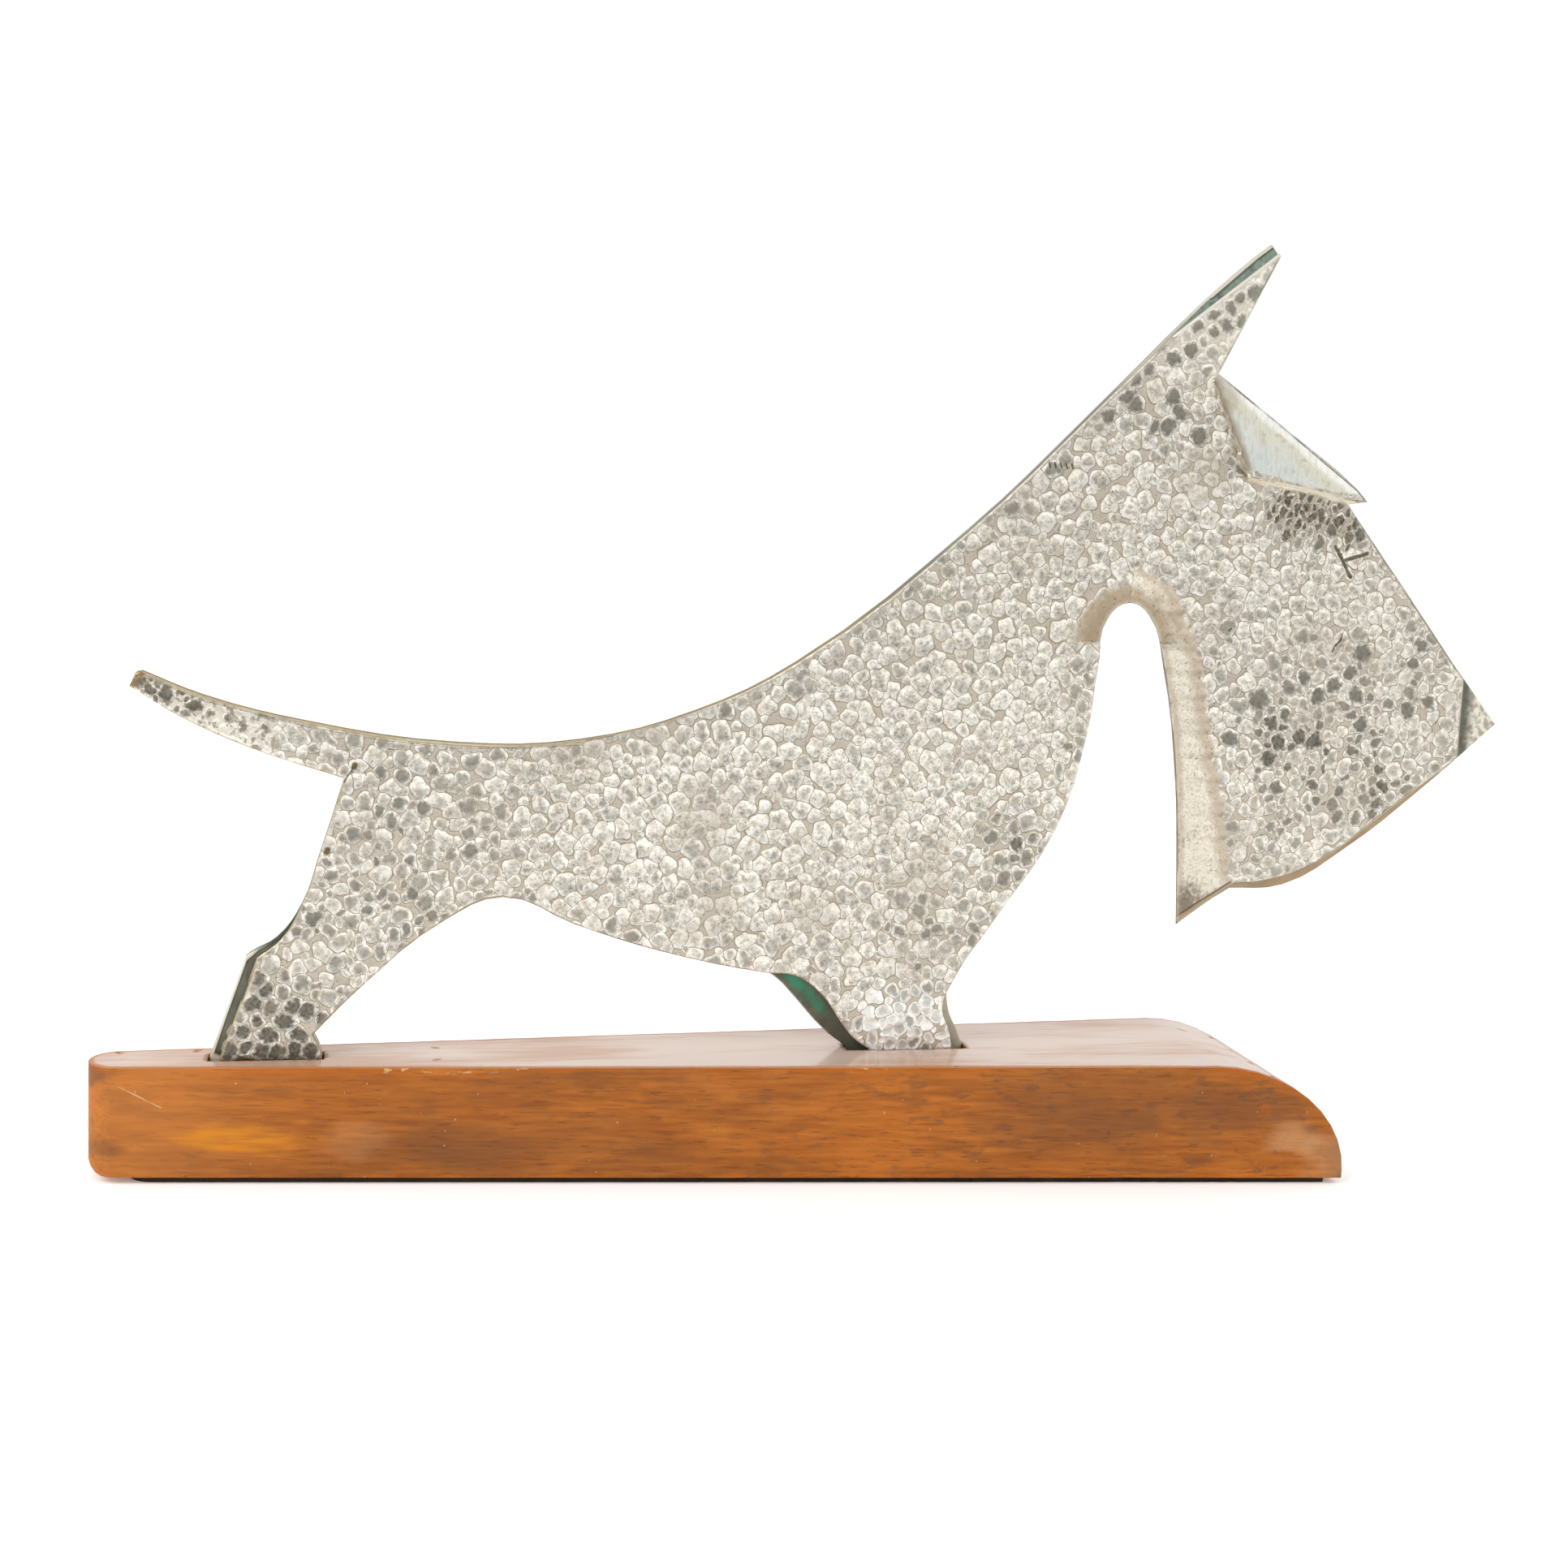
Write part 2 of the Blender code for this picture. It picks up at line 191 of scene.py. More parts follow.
# %% Steps that every finish uses
def shade(red, green, blue):
    """Linear colour for a shader, from the 0 to 255 values seen on a screen."""
    parts = [part / 255 for part in (red, green, blue)]
    linear = [part / 12.92 if part < 0.04 else ((part + 0.055) / 1.055) ** 2.4 for part in parts]
    return (*linear, 1)


def step(value, low, high):
    """0 below low, 1 above high, smooth between them. Low may be the larger one."""
    limits = {"Value": value, "From Min": low, "From Max": high}
    return value.node("ShaderNodeMapRange", {"interpolation_type": "SMOOTHSTEP"}, limits)


def mix(factor, first, second):
    """From the first colour to the second as the factor goes from 0 to 1."""
    first, second = (end if isinstance(end, Wire) else shade(*end) for end in (first, second))
    inputs = {0: factor, 6: first, 7: second}
    return factor.node("ShaderNodeMix", {"data_type": "RGBA"}, inputs, out=2)


def paint(colour, *coats):
    """Lay coats over a colour. Each coat is how much of it shows, and its own colour."""
    for amount, coat in coats:
        colour = mix(amount, colour, coat)
    return colour


def noise(place, scale, detail=3, stretch=(1, 1, 1), shift=(0, 0, 0)):
    """Cloudy noise from 0 to 1, with its middle near 0.5. Scale is per metre."""
    moved = place.node("ShaderNodeMapping", {}, {"Vector": place, "Scale": stretch, "Location": shift})
    return place.node("ShaderNodeTexNoise", {}, {"Vector": moved, "Scale": scale, "Detail": detail})


def split(vector):
    """The three numbers of a vector."""
    node = vector.node("ShaderNodeSeparateXYZ", {}, {0: vector}).output.node
    return [Wire(vector.tree, output) for output in node.outputs]


def stored(place, name):
    """The three numbers that the mesh keeps under this name."""
    return split(place.node("ShaderNodeAttribute", {"attribute_name": name}, {}, out=1))


def shares(across, up):
    """A place as shares of the dog's length: along from the tail tip, and up from the feet."""
    return (across - dog_low.x) / DOG_LENGTH, (up - FOOT_LINE) / DOG_LENGTH


def stroke(across, up, start, end):
    """Distance in metres from a straight stroke, seen from the side."""
    run, rise = end - start
    along = ((across - start[0]) * run + (up - start[1]) * rise) / (run * run + rise * rise)
    along = along.most(0).least(1)
    off_across = across - start[0] - along * run
    off_up = up - start[1] - along * rise
    return (off_across * off_across + off_up * off_up) ** 0.5


def away(across, up, start, end):
    """Millimetres from a straight stroke whose ends are given as shares."""
    return stroke(across, up, spot(*start), spot(*end)) / MM


def new_finish(name):
    """An empty material with its shader, and a wire that starts at the object's own place."""
    material = bpy.data.materials.new(name)
    material.use_nodes = True
    shader = material.node_tree.nodes["Principled BSDF"]
    start = Wire(material.node_tree)
    place = start.node("ShaderNodeTexCoord", {}, {}, out=3)
    return material, shader, place


def connect(shader, **links):
    """Join wires or set constants on the shader's sockets, named with underscores."""
    for name, value in links.items():
        socket = shader.inputs[name.replace("_", " ")]
        if isinstance(value, Wire):
            value.tree.links.new(value.output, socket)
        else:
            socket.default_value = value


def bump(height, distance):
    """Normals for a height from 0 to 1 that stands for a distance in metres."""
    return height.node("ShaderNodeBump", {}, {"Height": height, "Distance": distance, "Strength": 1.0})


print("helpers ready: shade, step, mix, paint, noise, split, stroke, bump")

# %% [markdown]
# ## Taking a piece from the solid model
# A piece keeps the solid's form, so it starts as a copy of it. The solid comes as loose
# triangles, and merging them by distance makes the copy one closed surface. Operators
# act on all that is selected, so everything else is deselected first.

# %% Copy and select
MERGE_DISTANCE = 0.001 * MM


def only(piece):
    """Select this piece and nothing else."""
    bpy.ops.object.select_all(action="DESELECT")
    piece.select_set(True)
    bpy.context.view_layer.objects.active = piece


def copy_solid(node_name, piece_name):
    """A merged copy of a solid, as a new piece on the root body that stands for the hidden solid."""
    piece = bpy.data.objects.new(piece_name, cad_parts[node_name].data.copy())
    bpy.context.scene.collection.objects.link(piece)
    piece.data.materials.clear()
    only(piece)
    bpy.ops.object.mode_set(mode="EDIT")
    bpy.ops.mesh.select_all(action="SELECT")
    bpy.ops.mesh.remove_doubles(threshold=MERGE_DISTANCE)
    bpy.ops.object.mode_set(mode="OBJECT")
    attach(piece, "root")
    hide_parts(node_name)
    print(piece_name, "starts with", len(piece.data.polygons), "triangles")
    return piece


right_sheet = copy_solid("dog_right_side", "hammered_right_sheet")
left_sheet = copy_solid("dog_left_side", "hammered_left_sheet")

# %% [markdown]
# ## Finer triangles
# Hammer marks are about 4 mm across, so the outer faces need points less than a
# millimetre apart. Voxel remeshing would chew the sharp rim of a sheet this thin.
# Instead, every long edge is halved again and again, and the triangles are made more
# even after each round. At the end slivers are dissolved and the points inside a face
# are smoothed, which unfolds the few triangles that have turned over. The rim stays.

# %% Halve the long edges
OUTER_LEAN = 0.7
HALVINGS = 9
RIGHT = -1
LEFT = 1
SLIVER_WIDTH = 0.01 * MM
SLIVER_AREA = 0.002 * MM * MM
EVEN_ANGLE = math.radians(3)


def even_out(piece, side):
    """Smooth the points inside the outer face, so that no triangle there is folded over."""
    bpy.ops.mesh.dissolve_degenerate(threshold=SLIVER_WIDTH)
    bpy.ops.mesh.quads_convert_to_tris()
    bpy.ops.mesh.select_mode(type="VERT")
    for _ in range(2):
        bpy.ops.mesh.select_all(action="DESELECT")
        mesh = bmesh.from_edit_mesh(piece.data)
        for vertex in mesh.verts:
            faces = vertex.link_faces
            level = all(abs(face.normal.y) > OUTER_LEAN or face.calc_area() < SLIVER_AREA for face in faces)
            vertex.select = level and any(face.normal.y * side > OUTER_LEAN for face in faces)
        mesh.select_flush_mode()
        bpy.ops.mesh.vertices_smooth(factor=0.5, repeat=2)
        bpy.ops.mesh.select_all(action="SELECT")
        bpy.ops.mesh.beautify_fill(angle_limit=EVEN_ANGLE)


def halve_edges(piece, longest, side=0):
    """Split edges longer than the given length, on the outer face alone where a side is given."""
    only(piece)
    bpy.ops.object.mode_set(mode="EDIT")
    bpy.ops.mesh.select_mode(type="EDGE")
    for _ in range(HALVINGS):
        bpy.ops.mesh.select_all(action="DESELECT")
        mesh = bmesh.from_edit_mesh(piece.data)
        found = 0
        for edge in mesh.edges:
            wanted = side == 0 or any(face.normal.y * side > OUTER_LEAN for face in edge.link_faces)
            if wanted and edge.calc_length() > longest:
                edge.select = True
                found += 1
        if not found:
            break
        bpy.ops.mesh.subdivide(number_cuts=1)
        bpy.ops.mesh.select_all(action="SELECT")
        bpy.ops.mesh.quads_convert_to_tris()
        bpy.ops.mesh.beautify_fill(angle_limit=EVEN_ANGLE)
    if side:
        bpy.ops.mesh.select_all(action="SELECT")
        even_out(piece, side)
    bpy.ops.object.mode_set(mode="OBJECT")
    print(piece.name, "now has", len(piece.data.polygons), "triangles")


SHEET_EDGE = 0.84 * MM
halve_edges(right_sheet, SHEET_EDGE, RIGHT)
halve_edges(left_sheet, SHEET_EDGE, LEFT)

# %% [markdown]
# ## Reading a mesh
# The relief is worked out for all points at once. These functions read a mesh into
# arrays, and measure how far each place is from the nearest of some other places.

# %% Arrays from a mesh
def read_points(mesh):
    points = np.zeros(len(mesh.vertices) * 3)
    mesh.vertices.foreach_get("co", points)
    return points.reshape(-1, 3)


def read_corners(mesh):
    """The three vertex numbers of every triangle."""
    corners = np.zeros(len(mesh.loops), np.int32)
    mesh.loops.foreach_get("vertex_index", corners)
    return corners.reshape(-1, 3)


def read_normals(mesh):
    normals = np.zeros(len(mesh.polygons) * 3)
    mesh.polygons.foreach_get("normal", normals)
    return normals.reshape(-1, 3)


def store(mesh, name, domain, values):
    """Keep three numbers for every point or corner, for the finish to read."""
    kept = mesh.attributes.new(name, "FLOAT_VECTOR", domain)
    kept.data.foreach_set("vector", np.asarray(values, np.float32).ravel())


def make_tree(places):
    tree = kdtree.KDTree(len(places))
    for index, place in enumerate(places):
        tree.insert(tuple(place), index)
    tree.balance()
    return tree


def distances(places, others):
    """How far each place is from the nearest of the others."""
    tree = make_tree(others)
    return np.array([tree.find(tuple(place))[2] for place in places])


def flat(places):
    """Places seen from the side, as points with a third number of nought."""
    return np.column_stack([places, np.zeros(len(places))])


def rise(value, low, high):
    """0 below low, 1 above high, smooth between them."""
    share = np.clip((value - low) / (high - low), 0, 1)
    return share * share * (3 - 2 * share)


def strongest(places, spots):
    """The strongest of some round spots at each place: middle, reach and amount, as shares."""
    amount = np.zeros(len(places))
    for middle, reach, strength in spots:
        distance = np.hypot(*(places - spot(*middle)).T) / (reach * DOG_LENGTH)
        amount = np.maximum(amount, strength * (1 - rise(distance, 0.2, 1.0)))
    return amount


print("points of the right sheet:", len(read_points(right_sheet.data)))

# %% [markdown]
# ## Where the hammer fell
# Blows are thrown at random, large ones first. A blow is kept only if it doesn't sit too
# deep in another one, so they nearly cover the sheet, and a little flat metal is left
# where three meet. The marks are small under the brow and on the tail. A random seed
# keeps the pattern the same in each run. The darkest marks of the photographed side come
# first, where they were seen: their place in shares, and their radius in millimetres.

# %% Throw the hammer marks
MARK_RADII = (1.30 * MM, 2.42 * MM)
MARK_SPACING = 0.76
THROWS = 90000
FINE_PLACES = [
    ((0.820, 0.408), 0.060, 0.36), ((0.060, 0.242), 0.085, 0.52), ((0.870, 0.230), 0.130, 0.16),
    ((0.770, 0.500), 0.050, 0.25), ((0.250, 0.225), 0.100, 0.10), ((0.160, 0.140), 0.120, 0.12),
    ((0.545, 0.020), 0.060, 0.30),
]
HEAVY_PLACES = [((0.095, 0.010), 0.070, 0.25), ((0.775, 0.555), 0.050, 0.15)]


EAR_MARKS = [
    (0.771, 0.560, 3.3), (0.752, 0.549, 2.2), (0.759, 0.555, 1.9), (0.740, 0.543, 2.1), (0.751, 0.536, 2.6),
    (0.762, 0.539, 2.2), (0.728, 0.534, 2.1), (0.725, 0.517, 2.5), (0.741, 0.531, 1.8), (0.713, 0.510, 2.4),
    (0.695, 0.502, 2.4), (0.686, 0.493, 2.1), (0.680, 0.481, 2.5), (0.687, 0.476, 2.6), (0.667, 0.467, 2.4),
    (0.713, 0.462, 2.8), (0.703, 0.461, 2.2), (0.715, 0.484, 2.8), (0.721, 0.473, 2.6), (0.737, 0.457, 3.0),
]
FOOT_MARKS = [
    (0.067, 0.006, 2.4), (0.077, 0.009, 1.9), (0.088, 0.006, 2.4), (0.099, 0.005, 2.4), (0.110, 0.006, 2.5),
    (0.120, 0.006, 2.4), (0.076, 0.020, 2.2), (0.092, 0.018, 2.8), (0.112, 0.017, 2.5), (0.103, 0.027, 2.8),
    (0.118, 0.034, 2.4), (0.082, 0.039, 2.4), (0.108, 0.037, 2.4), (0.086, 0.056, 2.2), (0.091, 0.049, 2.1),
]
BEARD_MARKS = [
    (0.810, 0.251, 2.5), (0.818, 0.236, 2.7), (0.834, 0.240, 2.4), (0.846, 0.238, 2.8), (0.811, 0.224, 2.5),
    (0.846, 0.272, 2.7), (0.857, 0.280, 2.8), (0.882, 0.252, 2.5), (0.877, 0.273, 2.8), (0.834, 0.285, 2.5),
    (0.870, 0.290, 2.5), (0.920, 0.263, 2.7), (0.879, 0.305, 3.3), (0.779, 0.238, 2.7), (0.799, 0.268, 3.7),
]
TAIL_MARKS = [
    (0.0132, 0.2510, 1.5), (0.0234, 0.2490, 2.4), (0.0412, 0.2411, 2.0), (0.0303, 0.2390, 1.1),
    (0.0729, 0.2269, 1.2), (0.0858, 0.2277, 1.1), (0.0617, 0.2348, 1.0),
]
UNDER_BROW = ((0.825, 0.405), 0.060, 1.0)


def throw_marks(seed, seen):
    """Arrays with the middle, radius, stretch, turn, chance and depth of each mark."""
    random = np.random.default_rng(seed)
    low = np.array([dog_low.x, dog_low.z])
    high = np.array([dog_high.x, dog_high.z])
    thrown = low + (high - low) * random.random((THROWS, 2))
    share = 1 - np.arange(THROWS) / THROWS
    radii = MARK_RADII[0] + (MARK_RADII[1] - MARK_RADII[0]) * share ** 1.6
    radii *= 0.80 + 0.40 * random.random(THROWS)
    radii *= 1 - strongest(thrown, FINE_PLACES) + strongest(thrown, HEAVY_PLACES)
    for index, (along, up, size) in enumerate(seen):
        thrown[index] = spot(along, up)
        radii[index] = size * MM
    cell = 3 * MARK_RADII[1]
    cells = {}
    kept = []
    for index, ((x, z), radius) in enumerate(zip(thrown.tolist(), radii.tolist())):
        column, row = int(x // cell), int(z // cell)
        near = [cells.get((column + i, row + j), ()) for i in (-1, 0, 1) for j in (-1, 0, 1)]
        others = [other for group in near for other in group]
        clear = all(math.hypot(x - a, z - b) > MARK_SPACING * (radius + size) for a, b, size in others)
        if clear or index < len(seen):
            cells.setdefault((column, row), []).append((x, z, radius))
            kept.append(index)
    chance = random.random(len(kept))
    chance[:len(seen)] = 1
    steep = strongest(thrown[kept], [UNDER_BROW]) > 0.2
    print("hammer marks on one sheet:", len(kept))
    return {
        "middle": thrown[kept],
        "radius": radii[kept],
        "stretch": 1 + 0.18 * random.random(len(kept)) + 0.22 * steep,
        "turn": np.where(steep, math.radians(72), math.pi * random.random(len(kept))),
        "chance": chance,
        "depth": 0.70 + 0.45 * chance,
        "seen": len(seen),
    }


right_marks = throw_marks(11, EAR_MARKS + FOOT_MARKS + BEARD_MARKS + TAIL_MARKS)
left_marks = throw_marks(12, [])

# %% [markdown]
# ## Smooth places
# Three places were filed smooth: the brow over the eye, the long facet at the rear edge
# of the beard, and the arch between the chest and the beard. The brow is found by its
# own outline, the facet lies behind a curve, and the arch is a ring.

# %% Where the filed places are
BROW_CORNERS = [
    (0.7440, 0.4960), (0.7490, 0.5030), (0.8035, 0.4680), (0.8645, 0.4270),
    (0.8760, 0.4155), (0.8600, 0.4170), (0.8240, 0.4248), (0.7765, 0.4290),
]
FACET_EDGE = [
    (0.700, 0.3600), (0.7305, 0.3440), (0.7369, 0.3246), (0.7486, 0.3060), (0.7561, 0.2771),
    (0.7623, 0.2484), (0.7683, 0.2220), (0.7779, 0.1924), (0.7849, 0.1558), (0.7905, 0.1200),
]
ARCH_MIDDLE = spot(0.6945, 0.3050)
ARCH_RADIUS = 0.0295 * DOG_LENGTH
ARCH_BORDER = 5.5 * MM
FACET_FOOT = ((0.7480, 0.0985), (0.7950, 0.1300))
BROW_SLACK = 0.15 * MM


def inside_brow(places, slack=BROW_SLACK):
    """Which places lie within the brow's outline, or this close to it."""
    corners = np.array([spot(*corner) for corner in BROW_CORNERS])
    inside = np.ones(len(places), bool)
    for first, second in zip(corners, np.roll(corners, -1, axis=0)):
        edge = second - first
        offset = places - first
        inside &= edge[0] * offset[:, 1] - edge[1] * offset[:, 0] < slack * np.hypot(*edge)
    return inside


def behind_facet_edge(places):
    """How far each place lies behind the beard facet's wavy edge, in metres."""
    edge = np.array([spot(*corner) for corner in FACET_EDGE])[::-1]
    wave = 0.5 * MM * np.sin(places[:, 1] / (1.1 * MM)) + 0.3 * MM * np.sin(places[:, 1] / (0.47 * MM))
    behind = np.interp(places[:, 1], edge[:, 1], edge[:, 0]) + wave - places[:, 0]
    beyond = (places[:, 1] > edge[-1, 1]) | (places[:, 0] < ARCH_MIDDLE[0])
    return np.where(beyond, -5 * MM, behind)


def beyond_arch(places):
    """How far each place lies from the arch's ring, in metres, and far where below it."""
    distance = np.hypot(*(places - ARCH_MIDDLE).T) - ARCH_RADIUS
    return np.where(places[:, 1] > ARCH_MIDDLE[1], distance, 50 * MM)


probe = np.array([spot(0.80, 0.45), spot(0.75, 0.20), spot(0.30, 0.20)])
print("probe on brow, facet, flank:", inside_brow(probe), behind_facet_edge(probe) > 0)

# %% [markdown]
# ## Depth of the marks
# Every mark presses a shallow bowl, and where bowls meet, the deepest one wins, which
# leaves a crisp ridge between them. The places are ruffled a little first, so that no
# mark is a perfect oval.

# %% How deep the marks press
RUFFLE = 0.32 * MM
RUFFLE_LENGTH = 0.85 * MM
NEAREST = 6


def ruffle(places):
    """Move places a little to and fro, which makes the outlines of the marks uneven."""
    across, up = np.moveaxis(places / RUFFLE_LENGTH, -1, 0)
    first = np.sin(up + 1.7 * np.sin(0.8 * across))
    second = np.sin(1.1 * across + 1.3 * np.sin(0.9 * up))
    return places + RUFFLE * np.stack([first, second], axis=-1)


def press(places, near, marks):
    """Depth of some marks at some places, and where in each mark the place is."""
    offset = ruffle(places)[..., None, :] - marks["middle"][near]
    turn = marks["turn"][near]
    size = marks["radius"][near]
    stretch = marks["stretch"][near]
    across = (offset[..., 0] * np.cos(turn) + offset[..., 1] * np.sin(turn)) / (size * stretch)
    up = (offset[..., 1] * np.cos(turn) - offset[..., 0] * np.sin(turn)) / (size / stretch)
    return marks["depth"][near] * (1 - across ** 2 - up ** 2), across, up


def nearest_marks(places, marks):
    tree = make_tree(flat(marks["middle"]))
    found = [tree.find_n(tuple(place), NEAREST) for place in flat(places)]
    return np.array([[index for _, index, _ in row] for row in found])


print("depth at the first mark's middle:", press(right_marks["middle"][:1], np.array([[0]]), right_marks)[0])

# %% [markdown]
# ## Values for the finish
# The same marks colour the metal later, so each triangle stores where it lies in its own
# mark, how tarnished that mark is, and how near its next mark is. These are stored at
# the triangle's corners, because a value between two marks would be wrong in both.

# %% Store each triangle's own mark
DARK_PLACES = [
    ((0.095, 0.010), 0.075, 1.1), ((0.545, 0.015), 0.050, 0.32), ((0.020, 0.252), 0.050, 0.9),
    ((0.775, 0.560), 0.065, 0.40), ((0.735, 0.500), 0.060, 0.25), ((0.818, 0.412), 0.040, 1.3),
    ((0.852, 0.400), 0.034, 1.1),
    ((0.835, 0.235), 0.090, 0.58), ((0.900, 0.200), 0.070, 0.6), ((0.625, 0.150), 0.055, 0.6),
    ((0.200, 0.085), 0.035, 0.7), ((0.110, 0.170), 0.055, 0.5), ((0.660, 0.270), 0.030, 0.5),
    ((0.925, 0.290), 0.060, 0.5), ((0.560, 0.080), 0.070, 0.35), ((0.180, 0.150), 0.130, 0.42),
    ((0.125, 0.100), 0.080, 0.45), ((0.860, 0.230), 0.160, 0.45), ((0.720, 0.520), 0.120, 0.24),
]
RIM_DARK = 0.32
MERGED_SHARE = 11
FAR_APART = 3.0


def tarnish_of(marks, rim_places):
    """How dark the middle of each mark is: by its place, by the rim near it and by chance."""
    from_rim = distances(flat(marks["middle"]), rim_places)
    off_tail = 0.35 + 0.65 * rise(marks["middle"][:, 0], spot(0.10, 0)[0], spot(0.17, 0)[0])
    near_rim = RIM_DARK * (1 - rise(from_rim, 2.5 * MM, 9 * MM)) * off_tail
    dark = np.maximum(strongest(marks["middle"], DARK_PLACES), near_rim)
    tarnish = np.clip(1.1 * dark + 0.75 * (marks["chance"] - 0.5), 0, 1)
    tarnish[:marks["seen"]] = np.maximum(tarnish[:marks["seen"]], 0.85)
    return tarnish


def store_marks(mesh, places, faces, near, marks, tarnish):
    """Store the mark, the tarnish and the ridge to the next mark for each outer triangle."""
    corners = read_corners(mesh)
    chosen = corners[faces]
    candidates = near[chosen[:, 0]]
    depth = press(places[chosen].mean(axis=1), candidates, marks)[0]
    order = np.argsort(-depth, axis=1)[:, :2]
    owners = np.take_along_axis(candidates, order, axis=1)
    depth, across, up = press(places[chosen], owners[:, None, :], marks)
    gap = depth[..., 0] - depth[..., 1]
    pair = (owners.min(axis=1) * 37 + owners.max(axis=1) * 91) % 100
    gap[pair < MERGED_SHARE] = FAR_APART
    own = owners[:, :1]
    each = np.ones(3)
    mark_values = np.full((len(corners), 3, 3), (FAR_APART, FAR_APART, 0.0))
    mark_values[faces] = np.stack([across[..., 0], up[..., 0], tarnish[own] * each], axis=-1)
    ridge_values = np.full((len(corners), 3, 3), (FAR_APART, 1.0, 0.0))
    depths = marks["depth"][own] * each
    ridge_values[faces] = np.stack([gap, depths, marks["chance"][own] * each], axis=-1)
    store(mesh, "mark", "CORNER", mark_values)
    store(mesh, "ridge", "CORNER", ridge_values)


print("dark places named:", len(DARK_PLACES))

# %% [markdown]
# ## Beating and filing the sheet
# Now the points move. The marks press the outer face, a low lip stands round each of
# them, and they fade out at the filed places. The beard's facet slopes away to the rear,
# the arch is hollowed a little, and the eye and the crack are cut in.

# %% Move the points
BOWL_DEPTH = 0.27 * MM
LIP_HEIGHT = 0.04 * MM
LIP_WIDTH = 0.30
FACET_STEP = 0.30 * MM
FACET_FALL = 0.60 * MM
CUT_DEPTH = 0.30 * MM
BROW_REAR_EDGE = ((0.7460, 0.4950), (0.7765, 0.4290))
BROW_WANDER = 0.35 * MM
BROW_LIP = chain((0.7790, 0.4275), (0.8240, 0.4225), (0.8720, 0.4125))
POLISHED = ((0.530, 0.014), (0.568, 0.014))
EYE_STROKES = [((0.8514, 0.3825), (0.8648, 0.3608)), ((0.8585, 0.3725), (0.8771, 0.3784))]
CRACK_STROKES = chain((0.8620, 0.3180), (0.8604, 0.3132), (0.8575, 0.3106), (0.8547, 0.3052))


def stroke_distance(places, strokes):
    """How far each place is from the nearest of some straight strokes, in metres."""
    nearest = np.full(len(places), 1.0)
    for start, end in strokes:
        first = spot(*start)
        run = spot(*end) - first
        along = np.clip((places - first) @ run / (run @ run), 0, 1)
        nearest = np.minimum(nearest, np.hypot(*(places - first - along[:, None] * run).T))
    return nearest


def near_top_edge(places):
    """Which places are close to the brow's upper edge, from the ear to the tip."""
    return stroke_distance(places, [((0.7490, 0.5030), (0.8760, 0.4160))]) < 2.2 * MM


def wander(points):
    """Make the brow's rear edge uneven, where the hammer met the filed facet."""
    near_edge = 1 - rise(stroke_distance(points[:, [0, 2]], [BROW_REAR_EDGE]), 0.4 * MM, 1.8 * MM)
    wave = np.sin(points[:, 2] / (1.05 * MM)) + 0.7 * np.sin(points[:, 2] / (0.43 * MM))
    points[:, 0] += BROW_WANDER * near_edge * wave


def beat_sheet(piece, side, marks, strokes):
    """Press the marks and file the facets, and store what the finish needs."""
    mesh = piece.data
    points = read_points(mesh)
    wander(points)
    corners = read_corners(mesh)
    places = points[:, [0, 2]].copy()
    normals = read_normals(mesh)
    faces = normals[:, 1] * side > OUTER_LEAN
    outer = np.zeros(len(points), bool)
    outer[corners[faces].ravel()] = True
    border = np.zeros(len(points), bool)
    border[corners[~faces].ravel()] = True
    brow = inside_brow(places)
    rim = outer & border & ~(inside_brow(places, 1.2 * MM) & ~near_top_edge(places))
    rim_places = flat(places[rim])
    from_rim = distances(flat(places), rim_places)

    behind = behind_facet_edge(places)
    arch = beyond_arch(places)
    smooth = np.maximum(brow, rise(behind, -0.2 * MM, 0.4 * MM))
    smooth = np.maximum(smooth, 1 - rise(arch, 0.6 * ARCH_BORDER, ARCH_BORDER))
    smooth = np.maximum(smooth, 1 - rise(stroke_distance(places, BROW_LIP), 0.5 * MM, 1.1 * MM))

    near = nearest_marks(places, marks)
    depth = press(places, near, marks)[0].max(axis=1)
    size = marks["radius"][near[:, 0]] / MARK_RADII[1]
    polished = 1 - rise(stroke_distance(places, [POLISHED]), 4 * MM, 13 * MM)
    bowl = BOWL_DEPTH * size * np.clip(depth, 0, 2) * (1 + 0.2 * polished)
    lip = LIP_HEIGHT * np.exp(-(depth / LIP_WIDTH) ** 2)
    pressed = (bowl - lip) * (1 - smooth) * (0.35 + 0.65 * rise(from_rim, 0, 1.2 * MM))
    pressed += FACET_STEP * rise(behind, 0, 1.2 * MM) + FACET_FALL * rise(behind, 0, 9 * MM)
    pressed += FACET_FALL * (1 - rise(arch, 0, ARCH_BORDER))
    pressed += CUT_DEPTH * (1 - rise(stroke_distance(places, strokes), 0.25 * MM, 0.8 * MM))
    points[outer, 1] -= side * pressed[outer]
    mesh.vertices.foreach_set("co", points.ravel())

    store_marks(mesh, places, faces, near, marks, tarnish_of(marks, rim_places))
    # The glint is a painted highlight along the rim, kept for the finish
    edge_glint = np.where(outer, np.exp(-from_rim / (0.45 * MM)), 1)
    store(mesh, "zones", "POINT", np.column_stack([smooth, edge_glint, brow]))
    store(mesh, "facet", "POINT", np.column_stack([behind, arch, from_rim]) / MM)
    mesh.update()
    centres = places[corners].mean(axis=1)
    lips = inside_brow(centres, 1.0 * MM) & ~near_top_edge(centres) & (normals[:, 1] * side > -0.2)
    return faces | lips


right_outer = beat_sheet(right_sheet, RIGHT, right_marks, EYE_STROKES + CRACK_STROKES)
left_outer = beat_sheet(left_sheet, LEFT, left_marks, EYE_STROKES)
print("beaten triangles:", int(right_outer.sum()), "and", int(left_outer.sum()))
